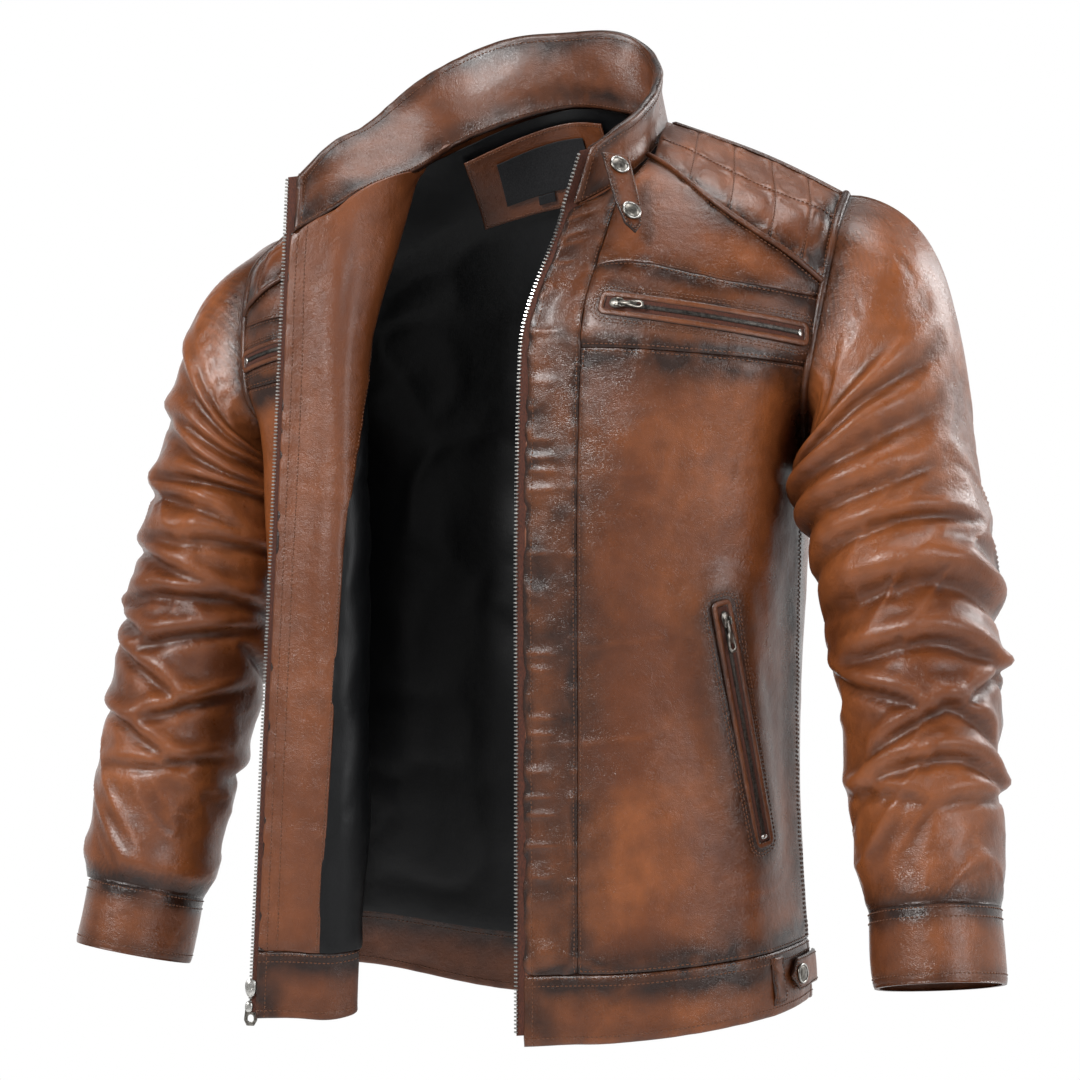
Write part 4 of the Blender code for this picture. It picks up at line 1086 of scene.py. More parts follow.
COLLAR_FOOT = np.vstack([neck_points(LEFT_FRONT)[::-1], BACK.at(np.array([0.42, 0.5, 0.58]), 1.0),
                         neck_points(RIGHT_FRONT)]) - (0, 0, 0.0008)
COLLAR_TOP = np.array([
    (0.0805, -0.0925, 0.6075), (0.096, -0.078, 0.622), (0.104, -0.050, 0.640),
    (0.098, -0.008, 0.672), (0.078, 0.034, 0.698), (0.044, 0.050, 0.721),
    (-0.002, 0.054, 0.727), (-0.060, 0.052, 0.7235),
    (-0.120, 0.032, 0.692), (-0.136, 0.004, 0.665), (-0.147, -0.024, 0.646),
    (-0.152, -0.056, 0.629),
    tuple(Vector(zip_line(0.609)) + Vector(swung(0.007, 0, 0)))])
COLLAR_KNOTS = run_of(COLLAR_FOOT, 0) / run_of(COLLAR_FOOT, 0)[-1]
COLLAR_TUCK = 0.0075                     # the foot of the collar goes this far inside the neckline
COLLAR_THICK = 0.0062


def collar_points(u, v):
    """The collar's plain surface, from its foot to its top edge."""
    weights = spline_weights(COLLAR_KNOTS, u.ravel())
    low, high = ((weights @ row).reshape(*u.shape, 3) for row in (COLLAR_FOOT, COLLAR_TOP))
    tuck = COLLAR_TUCK * ease(0.08, 0.22, u) * ease(0.08, 0.22, 1 - u) * (1 - v)
    return low + (high - low) * v[..., None] - tuck[..., None] * np.array((0, 0, 1))


def collar_place(u, v):
    step = 0.004
    around = collar_points(u + step, v) - collar_points(u - step, v)
    upward = collar_points(u, v + step) - collar_points(u, v - step)
    out = unit(np.cross(around, upward))
    wave = 0.0036 * (lattice(u * 9, v * 2, 21) - 0.5) + 0.0018 * (lattice(u * 22, v * 4, 23) - 0.5)
    body = -0.0018 * np.sin(pi * v)
    return collar_points(u, v) + out * ((wave + body) * ease(0, 0.05, u) * ease(0, 0.05, 1 - u)
                                        * ease(-0.1, 0.4, v))[..., None], out


# extra darkens the whole collar evenly: painted shade for the shadow the collar stands in.
panel("stand_collar", ["collar_outer", "collar_inner"], collar_place, level(0, 1.008, -0.004),
      level(1, 1.008, -0.004), cell=0.0026, thick=COLLAR_THICK, rolls=0.0030,
      burn=(0.8, 0.6, 0.9, 0.85), wide=0.013, back=INNER, through=COLLAR_THICK + 0.0001,
      extra=lambda u, v: np.full(u.shape, 0.22),
      seams=(("top", 0.0062), ("bottom", 0.0030), ("left", 0.0060), ("right", 0.0060)))

# ---------------------------------------------------------------- sleeves
HEAD_END = (0.2630, 0.002, 0.378)
ARM_LINE = (HEAD_END, (0.2735, -0.008, 0.327), (0.289, -0.028, 0.22), (0.305, -0.053, 0.098))
ARM_SIZE = ((0.0585, 0.068), (0.0575, 0.064), (0.0510, 0.056), (0.0430, 0.047))
CUFF_END = (0.311, -0.063, 0.050)
RIGHT_DROP = 0.018                       # the right arm hangs this much lower
SLEEVE_SEAM = 0.945                      # the sleeve's own seam, as a share of the way round
CUFF_THICK = 0.0031
SLEEVE_AROUND = 132


def arm_ring(centre, direction, half, turn):
    """An oval round the arm, square to its direction."""
    down = Vector(direction).normalized()
    forward = Vector((0, -1, 0))
    forward = (forward - down * forward.dot(down)).normalized()
    across = np.array(forward.cross(down).normalized())
    return (np.array(centre) + across * half[0] * np.cos(turn)[:, None]
            + np.array(forward) * half[1] * np.sin(turn)[:, None])


def armhole(places):
    """The left armhole: from the shoulder down the front's edge, then up the back's."""
    front = LEFT_FRONT.at(0, 1 - 0.9 * np.minimum(places, 0.5))
    rear = BACK.at(0, 0.55 + 0.9 * np.maximum(places - 0.5, 0))
    return np.where((places <= 0.5)[:, None], front, rear)


# each fold: its place round the sleeve, its distance down it, how it slants and bends,
# how far round it reaches, and its width and height
BACK_FOLDS = [
    (0.62, 0.120, 0.10, 0.1, 0.16, 0.010, 0.0060), (0.70, 0.152, -0.08, 0.2, 0.17, 0.010, 0.0060),
    (0.66, 0.190, 0.06, 0.1, 0.18, 0.011, 0.0065), (0.74, 0.228, -0.10, 0.1, 0.16, 0.009, 0.0060),
    (0.62, 0.262, 0.12, 0.0, 0.15, 0.009, 0.0055), (0.78, 0.296, 0.05, 0.2, 0.16, 0.009, 0.0050),
    (0.66, 0.330, -0.07, 0.0, 0.16, 0.008, 0.0045)]
LEFT_FOLDS = BACK_FOLDS + [
    (0.30, 0.096, 0.115, 0.10, 0.19, 0.0085, 0.0062), (0.32, 0.121, 0.105, 0.05, 0.20, 0.0090, 0.0068),
    (0.33, 0.146, 0.070, -0.05, 0.20, 0.0085, 0.0060), (0.24, 0.170, 0.050, 0.20, 0.18, 0.0080, 0.0048),
    (0.14, 0.208, -0.030, 0.15, 0.26, 0.0120, 0.0085), (0.16, 0.250, -0.050, 0.35, 0.22, 0.0090, 0.0062),
    (0.03, 0.274, 0.160, 0.0, 0.11, 0.0080, 0.0055), (0.30, 0.278, -0.130, 0.0, 0.12, 0.0080, 0.0060),
    (0.10, 0.300, -0.180, 0.0, 0.09, 0.0070, 0.0050), (0.22, 0.304, 0.180, 0.0, 0.09, 0.0070, 0.0050),
    (0.15, 0.328, 0.0, 0.35, 0.22, 0.0080, 0.0058), (0.04, 0.350, 0.080, 0.0, 0.14, 0.0065, 0.0040),
    (0.33, 0.347, -0.080, 0.0, 0.12, 0.0065, 0.0040)]
RIGHT_FOLDS = BACK_FOLDS + [
    (0.28, 0.062, 0.03, 0.05, 0.16, 0.0065, 0.0040), (0.30, 0.084, -0.04, 0.10, 0.18, 0.0070, 0.0052),
    (0.26, 0.104, 0.05, 0.00, 0.17, 0.0070, 0.0055), (0.33, 0.125, -0.02, 0.12, 0.19, 0.0075, 0.0060),
    (0.22, 0.146, 0.04, 0.10, 0.16, 0.0070, 0.0055), (0.32, 0.168, -0.05, 0.00, 0.18, 0.0080, 0.0062),
    (0.20, 0.190, 0.06, 0.10, 0.16, 0.0070, 0.0052), (0.30, 0.212, -0.04, 0.15, 0.19, 0.0085, 0.0066),
    (0.12, 0.236, 0.12, 0.00, 0.12, 0.0075, 0.0055), (0.32, 0.244, -0.12, 0.00, 0.13, 0.0080, 0.0060),
    (0.22, 0.272, 0.16, 0.00, 0.13, 0.0080, 0.0060), (0.34, 0.296, -0.14, 0.00, 0.12, 0.0080, 0.0055),
    (0.22, 0.318, 0.12, 0.20, 0.15, 0.0075, 0.0050), (0.32, 0.342, -0.06, 0.00, 0.15, 0.0065, 0.0040)]


def sleeve_fold(places, run, length, folds, seed):
    """Height of the sleeve's folds: they climb outward from the armpit and ring the forearm."""
    a = places[None, :]
    reach = run + 0.040 * np.cos(2 * pi * (a - 0.02)) + 0.012 * np.sin(4 * pi * a + seed)
    warp = lattice(a * 5, run / 0.07, seed, 5)
    broad = lattice(a * 3 + 0.8 * warp, reach / 0.062 + 0.9 * warp, seed + 1, 3) - 0.5
    second = ridge(a * 4 + warp, reach / 0.030 - 0.8 * warp, seed + 2, 4) ** 2.2 - 0.35
    fine = ridge(a * 8, reach / 0.016 + warp, seed + 3, 8) ** 2
    where = ease(0.06, 0.16, run) * ease(0.0, 0.022, length - run)
    patchy = 0.35 + 0.85 * lattice(a * 4, run / 0.05, seed + 4, 4)
    height = (0.0050 * broad + 0.0030 * second * patchy + 0.0009 * fine * patchy) * where
    shake = 0.010 * (lattice(a * 7, run / 0.05, seed + 6, 7) - 0.5)
    for place, middle, slope, bend, span, width, tall in folds:
        beside = (a - place + 0.5) % 1 - 0.5
        d = run + shake - middle - slope * beside - bend * beside**2
        crest = near(d, width) - 0.80 * near(d - 1.45 * width, 0.62 * width)
        height = height + tall * crest * np.exp(-(beside / span) ** 4)
    return height * ease(0.0, 0.016, length - run) * ease(0.015, 0.055, run)


def solid_tube(name, grid, out, thick, finish, values, back):
    """A closed tube of cloth: its outer and inner walls and the rims between them."""
    rows, columns = grid.shape[:2]
    count = rows * columns
    inner = grid - out * thick
    faces = grid_faces(rows, columns, closed=True)
    inside = grid_faces(rows, columns, closed=True, flip=True, start=count)
    rims = []
    for row, flip in ((0, True), (rows - 1, False)):
        for i in range(columns):
            j = (i + 1) % columns
            face = [row * columns + i, row * columns + j, count + row * columns + j,
                    count + row * columns + i]
            rims.append(face if flip else face[::-1])
    every = faces + inside + rims
    if np.cross(grid[1, 1] - grid[1, 0], grid[2, 0] - grid[1, 0]) @ out[1, 0] <= 0:
        every = [face[::-1] for face in every]
    doubled = {key: np.r_[value.ravel(), value.ravel()] for key, value in values.items()}
    index = [0] * len(faces) + [1] * len(inside) + [0] * len(rims)
    return as_mesh(name, np.vstack([grid.reshape(-1, 3), inner.reshape(-1, 3)]), every,
                   [finish, back], doubled, index)


def tube_normals(grid):
    around = np.roll(grid, -1, axis=1) - np.roll(grid, 1, axis=1)
    out = unit(np.cross(around, np.gradient(grid, axis=0)))
    centre = grid.mean(axis=1, keepdims=True)
    if np.einsum("ijk,ijk->", out, grid - centre) < 0:
        out = -out
    return out


def ring_line(grid, out, row, lift):
    """One ring of a tube as a closed line of points and normals, lifted off it."""
    points, normals = (np.vstack([field[row], field[row][:1]]) for field in (grid, out))
    return points + normals * lift, normals


def make_cuff(side, mirror, first, last, way, places, seed):
    """The cuff: a doubled band round the wrist, from first to last."""
    cuff = np.array([arm_ring(first + (last - first) * f, way, ARM_SIZE[3], 2 * pi * places)
                     for f in np.linspace(0.0, 1.0, 26)])
    cuff_out = tube_normals(cuff)
    cuff_run = run_of(cuff, 0)
    tall = cuff_run[-1].mean()
    edge = np.minimum(cuff_run, tall - cuff_run)
    ripple = 0.0016 * (lattice(places[None, :] * 9, cuff_run / 0.03, seed + 9, 9) - 0.5)
    cuff = cuff + cuff_out * (ripple * ease(0, 0.01, cuff_run) - 0.0009 * near(edge, 0.0022)
                              - 0.0004 * near(edge - 0.006, 0.0015))[..., None]
    patches = 0.5 + lattice(places[None, :] * 11, cuff_run / 0.02, 3, 11)
    cuff_dark = np.maximum(0.95 * near(cuff_run, 0.013) * patches,
                           0.30 * near(tall - cuff_run, 0.010) + 0.16)
    flip = np.array((mirror, 1, 1))
    band = solid_tube(f"cuff_{side}_leather", cuff * flip, cuff_out * flip, CUFF_THICK, OUTER,
                      {"burnish_and_painted_shade": cuff_dark, "crest": np.full(cuff_dark.shape, 0.5)}, INNER)
    placed(band, f"sleeve_{side}", "leather", f"cuff_{side}")
    for distance in (0.0026, 0.0082, tall - 0.0058):
        row = int(np.argmin(np.abs(cuff_run.mean(1) - distance)))
        sew(f"sleeve_{side}", ring_line(cuff * flip, cuff_out * flip, row, 0.0002))


def make_sleeve(side, mirror, folds, seed):
    """A sleeve from its armhole to its wrist, shaped on the left and mirrored for the right."""
    lowered = RIGHT_DROP if mirror < 0 else 0.0
    line = [np.array(p) - (0, 0, lowered * share) for p, share in zip(ARM_LINE, (0, 0.4, 0.7, 1))]
    end = np.array(CUFF_END) - (0, 0, lowered)
    ways = [line[1] - line[0], line[2] - line[0], line[3] - line[1], end - line[3]]
    places = np.arange(SLEEVE_AROUND) / SLEEVE_AROUND
    turn = 2 * pi * places
    rings = np.array([arm_ring(p, d, s, turn) for p, d, s in zip(line, ways, ARM_SIZE)])
    start = armhole(places)
    t = np.linspace(0, 1, 46)[:, None, None]
    span = np.linalg.norm(rings[0] - start, axis=1)[:, None]
    leave = np.stack([np.ones(len(start)), 9.0 * start[:, 1], np.full(len(start), -0.12)], 1)
    leave = unit(leave) * span * 1.15
    arrive = unit(ways[0]) * span * 1.1
    head = (start * (2 * t**3 - 3 * t**2 + 1) + leave * (t**3 - 2 * t**2 + t)
            + rings[0] * (-2 * t**3 + 3 * t**2) + arrive * (t**3 - t**2))
    weights = spline_weights((0, 0.19, 0.57, 1.0), np.linspace(0, 1, 108)[1:])
    arm = np.einsum("nj,jic->nic", weights, rings)
    grid = np.concatenate([head, arm])
    run = run_of(grid, 0)
    run = run.mean(axis=1, keepdims=True) * np.ones_like(run)
    length = run[-1, 0]
    out = tube_normals(grid)
    height = sleeve_fold(places, run, length, folds, seed)
    height += 0.0022 * near(length - run - 0.022, 0.016)
    height -= 0.0012 * near(run, 0.004) + 0.0010 * near(length - run, 0.004)
    front = np.maximum(0, np.sin(turn))[None, :]
    inner_side = near(((places - 0.36 + 0.5) % 1 - 0.5)[None, :], 0.13)
    height += 0.0105 * inner_side * near(run - 0.150, 0.055) * front
    if mirror < 0:
        height += 0.0060 * np.maximum(0, np.cos(turn))[None, :] * near(run - length + 0.10, 0.12)
    grid = grid + out * height[..., None]
    pins = np.maximum(1 - ease(0.0, 0.05, run), 1 - ease(0.0, 0.02, length - run))
    grid = settled(grid, np.where(pins > 0.02, pins, 0), grow=0.010, pressure=0.4, frames=12,
                   cap=0.0035, closed=True)
    out = tube_normals(grid)
    # painted light: crest lightens the fold tops as a painted highlight, and the hollows between the folds
    # are darkened as painted shade, over a small even darkening of the whole sleeve
    soft = blurred(grid, 5)
    lift = np.einsum("ijk,ijk->ij", grid - soft, out)
    crest = np.clip(0.5 + lift / 0.0010, 0, 1)
    painted_crease_shade = np.clip(-lift / 0.0030, 0, 0.22)
    seam = ((places - SLEEVE_SEAM + 0.5) % 1 - 0.5)[None, :] * 0.34
    dark = np.maximum(0.95 * near(run, 0.016), 0.95 * near(length - run, 0.012))
    dark = np.maximum(dark, painted_crease_shade + 0.06)
    dark = np.maximum(dark, 0.85 * near(seam, 0.010) * ease(0.12, 0.22, run)
                      * (0.3 + lattice(seam * 0, run / 0.05, seed)))
    burnish_and_painted_light = {"burnish_and_painted_shade": dark, "crest": crest}
    flip = np.array((mirror, 1, 1))
    sleeve = solid_tube(f"sleeve_{side}_leather", grid * flip, out * flip, LEATHER, OUTER, burnish_and_painted_light, SATIN)
    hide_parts(f"sleeve_{side}", f"sleeve_head_{side}")
    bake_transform(sleeve)
    make_cuff(side, mirror, line[3], end, ways[3], places, seed)


make_sleeve("left", 1, LEFT_FOLDS, 101)
make_sleeve("right", -1, RIGHT_FOLDS, 139)
for side, mirror in (("left", 1), ("right", -1)):
    ring = armhole((np.linspace(0.5, 1.5, 150)) % 1)
    inside = np.array(ARMPIT) * (1, 1, 0) + (-0.03, 0, 0.49)
    roll = tube(f"armhole_roll_{side}", (ring + (0.0006, 0, 0)) * (mirror, 1, 1),
                (ring - inside) * (mirror, 1, 1), 0.0031, OUTER, 0.62, 12)
    placed(roll, "jacket", "leather")

# ---------------------------------------------------------------- small solid parts
def rounded(points, times=2):
    """A closed outline with its corners cut off a few times."""
    points = np.array(points, float)
    for _ in range(times):
        after = np.roll(points, -1, axis=0)
        pairs = [0.75 * points + 0.25 * after, 0.25 * points + 0.75 * after]
        points = np.stack(pairs, 1).reshape(-1, 2)
    return points


def even_outline(points, count=48):
    """An outline resampled evenly, from where it crosses straight up from its middle."""
    closed = np.vstack([points, points[:1]])
    run = np.r_[0, np.cumsum(np.linalg.norm(np.diff(closed, axis=0), axis=1))]
    places = np.linspace(0, run[-1], 8 * count, endpoint=False)
    dense = np.stack([np.interp(places, run, closed[:, k]) for k in range(2)], 1)
    area = np.sum(dense[:, 0] * np.roll(dense[:, 1], -1) - np.roll(dense[:, 0], -1) * dense[:, 1])
    if area < 0:
        dense = dense[::-1]
    middle = (dense.min(0) + dense.max(0)) / 2
    above = np.where(dense[:, 1] > middle[1], np.abs(dense[:, 0] - middle[0]), np.inf)
    return np.roll(dense, -int(np.argmin(above)), axis=0)[::8]


def inset(outline, distance):
    """A closed outline moved inward by a distance."""
    way = unit(np.roll(outline, -1, axis=0) - np.roll(outline, 1, axis=0))
    return outline + np.stack([-way[:, 1], way[:, 0]], 1) * distance


def prism(outline, low, high, bevel, hole=None):
    """Points and faces of a bevelled plate, with a hole through it if one is given."""
    outline = even_outline(outline)
    count = len(outline)
    rings = [(inset(outline, bevel), low), (outline, low + bevel), (outline, high - bevel),
             (inset(outline, bevel), high)]
    if hole is not None:
        hole = even_outline(hole)
        rings += [(inset(hole, -bevel / 2), high), (hole, high - bevel / 2), (hole, low + bevel / 2),
                  (inset(hole, -bevel / 2), low)]
    points = np.vstack([np.column_stack([ring, np.full(count, level)]) for ring, level in rings])
    faces = grid_faces(len(rings), count, closed=True)
    if hole is None:
        faces += [list(range(count))[::-1], list(range(3 * count, 4 * count))]
    else:
        first = 7 * count
        faces += [[first + k, first + (k + 1) % count, (k + 1) % count, k] for k in range(count)]
    return points, faces


def rod(first, last, radius, sides=12):
    """Points and faces of a round pin."""
    first, last = np.array(first, float), np.array(last, float)
    way = unit(last - first)
    side = unit(np.cross(way, (0.3, 0.5, 0.8)))
    other = np.cross(way, side)
    turn = np.linspace(0, 2 * pi, sides, endpoint=False)[:, None]
    ring = (side * np.cos(turn) + other * np.sin(turn)) * radius
    faces = grid_faces(2, sides, closed=True)
    return (np.vstack([first + ring, last + ring]),
            faces + [list(range(sides))[::-1], list(range(sides, 2 * sides))])


LATHE_SIDES = 48


def lathe(profile, sides=LATHE_SIDES):
    """Points and faces of a turned solid, from (radius, height) pairs; closed at both ends."""
    turn = np.linspace(0, 2 * pi, sides, endpoint=False)
    points = np.array([[(r * cos(a), r * sin(a), z) for a in turn] for r, z in profile]).reshape(-1, 3)
    last = (len(profile) - 1) * sides
    faces = grid_faces(len(profile), sides, closed=True)
    return points, faces + [list(range(sides))[::-1], list(range(last, last + sides))]


def box_outline(left, right, low, high):
    return rounded([(left, low), (right, low), (right, high), (left, high)], 3)


def fitted(name, parts, matrix, finishes):
    """One mesh from several (points, faces), placed by the matrix."""
    faces, start = [], 0
    for points, made in parts:
        faces += [[start + i for i in face] for face in made]
        start += len(points)
    local = np.vstack([points for points, _ in parts])
    frame_array = np.array(matrix)
    return as_mesh(name, local @ frame_array[:3, :3].T + frame_array[:3, 3], faces, finishes, None,
                   [0] * len(faces))


def hardware(name, parts, matrix, finish, slot, body, *nodes):
    """A solid metal part on its body."""
    return placed(fitted(name, parts, matrix, [finish]), body, slot, *nodes)


def standing(points, faces):
    """A plate drawn across and upward, turned to stand along the part's own Y and Z."""
    return np.column_stack([points[:, 2], points[:, 0], points[:, 1]]), faces


def tooth_part(reach, foot, half_long, half_deep):
    """One zip tooth: its clamp on the tape at -foot, its head at +reach."""
    outline = [(-foot, -0.55 * half_long), (-0.1 * foot, -0.62 * half_long), (0.25 * reach, -half_long),
               (reach, -0.62 * half_long), (reach, 0.62 * half_long), (0.25 * reach, half_long),
               (-0.1 * foot, 0.62 * half_long), (-foot, 0.55 * half_long)]
    outline = np.array(outline)
    small = outline * (0.86, 0.80)
    levels = [(small, -half_deep), (outline, -0.6 * half_deep), (outline, 0.6 * half_deep),
              (small, half_deep)]
    points = np.vstack([np.column_stack([ring, np.full(8, z)]) for ring, z in levels])
    faces = grid_faces(4, 8, closed=True) + [list(range(8))[::-1], list(range(24, 32))]
    return points, faces


def copies(name, part, frames, finish):
    """Many copies of a small part, one at each frame."""
    points, faces = part
    frames = np.asarray(frames)
    placed_points = np.einsum("nij,pj->npi", frames[:, :3, :3], points) + frames[:, None, :3, 3]
    every = [[i * len(points) + k for k in face] for i in range(len(frames)) for face in faces]
    made = as_mesh(name, placed_points.reshape(-1, 3), every, [finish])
    made.data.shade_flat()
    return made


def frames_of(across, upward, outward, points):
    """Matrices from arrays of axes and points, one for each point."""
    made = np.zeros((len(points), 4, 4))
    made[:, :3, 0], made[:, :3, 1], made[:, :3, 2], made[:, :3, 3] = across, upward, outward, points
    made[:, 3, 3] = 1
    return made


# ---------------------------------------------------------------- pocket zips
WELT_HALF, SLOT_HALF, WELT_END = 0.0085, 0.0042, 0.0075
HINGE_HEIGHT, SLIDER_HALF_LENGTH, PULL_THICK = 0.0031, 0.0055, 0.0012
EAR_IN, EAR_OUT, NECK_HALF, NECK_TAIL = 0.0017, 0.0030, 0.0013, 0.0008
PIN_BACK = -0.001                        # a pull's pin, from the middle of its slider
POCKET_PITCH = 0.0016


def pull_parts(length, half_end, thick):
    """A zip pull that hangs along -Y from its pin, with a window near its end."""
    shoulder = -0.36 * length
    window = rounded([(-0.46 * half_end, -0.90 * length), (0.46 * half_end, -0.90 * length),
                      (0.38 * half_end, -0.70 * length), (-0.38 * half_end, -0.70 * length)])
    edge = rounded([(-NECK_HALF, NECK_TAIL), (-NECK_HALF, 0.5 * shoulder), (-NECK_HALF, shoulder),
                    (-0.72 * half_end, shoulder - 0.001), (-half_end, -length), (half_end, -length),
                    (0.72 * half_end, shoulder - 0.001), (NECK_HALF, shoulder),
                    (NECK_HALF, 0.5 * shoulder), (NECK_HALF, NECK_TAIL)], 1)
    return [prism(edge, -thick / 2, thick / 2, 0.00028, window),
            rod((-EAR_IN + 0.0001, 0, 0), (EAR_IN - 0.0001, 0, 0), 0.00062)]


def ear_parts(low, top):
    """The two ears of a slider, which hold the pin of its pull."""
    outline = rounded([(-0.0042, low), (0.0026, low), (0.0016, top), (-0.0026, top)])
    shell_points, faces = prism(outline, EAR_IN, EAR_OUT, 0.00025)
    mirrored_points = shell_points * (1, 1, -1)
    return [standing(shell_points, faces), standing(mirrored_points, [face[::-1] for face in faces])]


def teardrop(half_wide, half_long):
    turn = np.linspace(0, 2 * pi, 60, endpoint=False)
    wide = np.sign(np.cos(turn)) * np.abs(np.cos(turn)) ** 0.75
    tall = np.sign(np.sin(turn)) * np.abs(np.sin(turn)) ** 0.85
    return np.column_stack([half_wide * wide * (0.82 + 0.18 * tall), half_long * tall])


def loop_path(length):
    """The middle line of a welt frame: places along and across the zip, and its outward side."""
    first, last = -WELT_END + 0.0021, length + WELT_END - 0.0021
    half = (WELT_HALF + SLOT_HALF) / 2
    turn = 0.0030
    corners = [(last - turn, half - turn, 0), (first + turn, half - turn, pi / 2),
               (first + turn, -half + turn, pi), (last - turn, -half + turn, 3 * pi / 2)]
    points, outs = [], []
    for (x, y, start), (next_x, next_y, _) in zip(corners, corners[1:] + corners[:1]):
        for a in np.linspace(start, start + pi / 2, 7):
            points.append((x + turn * cos(a), y + turn * sin(a)))
            outs.append((cos(a), sin(a)))
        gap = np.hypot(next_x - x, next_y - y)
        for share in np.linspace(0, 1, max(2, int(gap / 0.003)))[1:-1]:
            end = start + pi / 2
            points.append((x + (next_x - x) * share + turn * cos(end),
                           y + (next_y - y) * share + turn * sin(end)))
            outs.append((cos(end), sin(end)))
    return np.array(points), np.array(outs)


def pocket(label, side, track, pull_length, pull_half, seed):
    path, outs = loop_path(track.length)
    around = np.linspace(0, 2 * pi, 14, endpoint=False)
    shape = np.sign(np.cos(around)) * np.abs(np.cos(around)) ** 0.8
    tall = np.sign(np.sin(around)) * np.abs(np.sin(around)) ** 0.8
    wobble = 1 + 0.10 * (lattice(np.arange(len(path)) / 3.0, seed, 9) - 0.5)
    distance = path[:, :1] + outs[:, :1] * 0.00225 * shape
    across = path[:, 1:] + outs[:, 1:] * 0.00225 * shape
    height = -0.0010 + 0.0012 * wobble[:, None] * tall
    points = on_track(track, distance, across, height)[0]
    rows, columns = distance.shape
    faces = grid_faces(rows, columns, closed=True)
    faces += [[(rows - 1) * columns + i, (rows - 1) * columns + (i + 1) % columns,
               (i + 1) % columns, i] for i in range(columns)]
    side_way = np.cross(points[0, 1] - points[0, 0], points[1, 0] - points[0, 0])
    if np.dot(side_way, points[0, 0] - points[0].mean(0)) < 0:
        faces = [face[::-1] for face in faces]
    dark = np.clip(0.30 + 0.60 * np.abs(shape)[None, :] ** 3 + 0 * distance, 0, 1)
    # crest 0.65 gives the welt lips a faint painted highlight
    welt = as_mesh(f"{label}_welt_{side}_lips", points.reshape(-1, 3), faces, [OUTER],
                   {"burnish_and_painted_shade": dark.ravel(), "crest": np.full(dark.size, 0.65)})
    placed(welt, "jacket", "leather", f"{label}_welt_{side}")
    run = np.linspace(-0.0030, track.length + 0.0030, 24)

    def bed(u, v):
        return on_track(track, v, u, np.full(u.shape, -0.00055))

    panel(f"{label}_tape_{side}", [], bed, level(run[0], 0.0050, -0.0050),
          level(run[-1], 0.0050, -0.0050), TAPE, slot="tape", cell=0.0016, thick=0.0006,
          rolls=0.0004, burn=UNBURNT, pucker=0.0)
    count = int(track.length / POCKET_PITCH)
    rows_of_teeth = []
    for half in (1, -1):
        for k in range(count):
            place = track.frame((k + 0.5 + 0.25 * half) * track.length / count)
            spin = Matrix.Rotation(0 if half > 0 else pi, 4, "Z")
            aside = Matrix.Translation((-half * 0.0004, 0, -0.0003))
            rows_of_teeth.append(np.array(place @ aside @ spin))
    teeth = copies(f"{label}_teeth_{side}", tooth_part(0.0016, 0.0013, 0.00052, 0.0006),
                   rows_of_teeth, DARK_TEETH)
    placed(teeth, "jacket", "gunmetal", f"{label}_zip_{side}")
    hardware(f"{label}_stop_{side}",
             [prism(box_outline(-0.0024, 0.0024, -0.0016, 0.0016), -0.0006, 0.0005, 0.0003)],
             track.frame(track.length - 0.0002), NICKEL, "nickel", "jacket")
    hub = track.frame(SLIDER_HALF_LENGTH + 0.0005)
    plate = prism(teardrop(0.0040, SLIDER_HALF_LENGTH), 0.0006, 0.0018, 0.0004)
    slider, pull = f"{label}_slider_{side}", f"{label}_pull_{side}"
    hardware(f"{slider}_body", [plate] + ear_parts(0.0014, 0.0042), hub, GUNMETAL, "gunmetal",
             slider, slider)
    hardware(f"{pull}_tab", pull_parts(pull_length, pull_half, PULL_THICK),
             hub @ Matrix.Translation((0, PIN_BACK, HINGE_HEIGHT)), GUNMETAL, "gunmetal", pull, pull)
    for reach in (0.0046, 0.0068):
        line, away = on_track(track, path[:, 0] + outs[:, 0] * reach, path[:, 1] + outs[:, 1] * reach,
                              np.zeros(len(path)))
        line, away = np.vstack([line, line[:1]]), np.vstack([away, away[:1]])
        sew("jacket", laid_on(side, line, away))


def leather_tree(side):
    """The outer leather of one front, for laying things on it."""
    points, faces = [], []
    for name in (f"front_{side}", f"chest_{side}"):
        mesh = bpy.data.objects[name].data
        start = len(points)
        points += [v.co + HANGER for v in mesh.vertices]
        faces += [[start + k for k in face.vertices] for face in mesh.polygons]
    return BVHTree.FromPolygons(points, faces)


TREES = {side: leather_tree(side) for side in SIDES}


def laid_on(side, points, normals):
    """The same line of points, dropped on to the outer leather."""
    found = []
    for point, out in zip(points, normals):
        spot = TREES[side].ray_cast(Vector(point + out * 0.006), Vector(-out), 0.03)[0]
        found.append(tuple(spot) if spot else tuple(point - out * POCKET_BED))
    return np.array(found), normals


for side in SIDES:
    chest, hand = POCKETS[side]
    pocket("chest", side, chest[0], 0.0170, 0.0030, 7)
    pocket("hand", side, hand[0], 0.0210, 0.0036, 15)

# ---------------------------------------------------------------- main zip
MAIN_PITCH, MAIN_TOP, SLIDER_START = 0.0026, 0.606, 0.0215
TAPE_UNDER = ((0.952, 0.0019), (0.966, 0.0018))   # two lines of the tape: u, depth under the leather
COLLAR_SINK = (0.0031, 0.0026)           # the depth of the same two lines beside the collar
COLLAR_LIFT = np.array((0, 0, 0.0030))   # where the zip starts up the collar's end


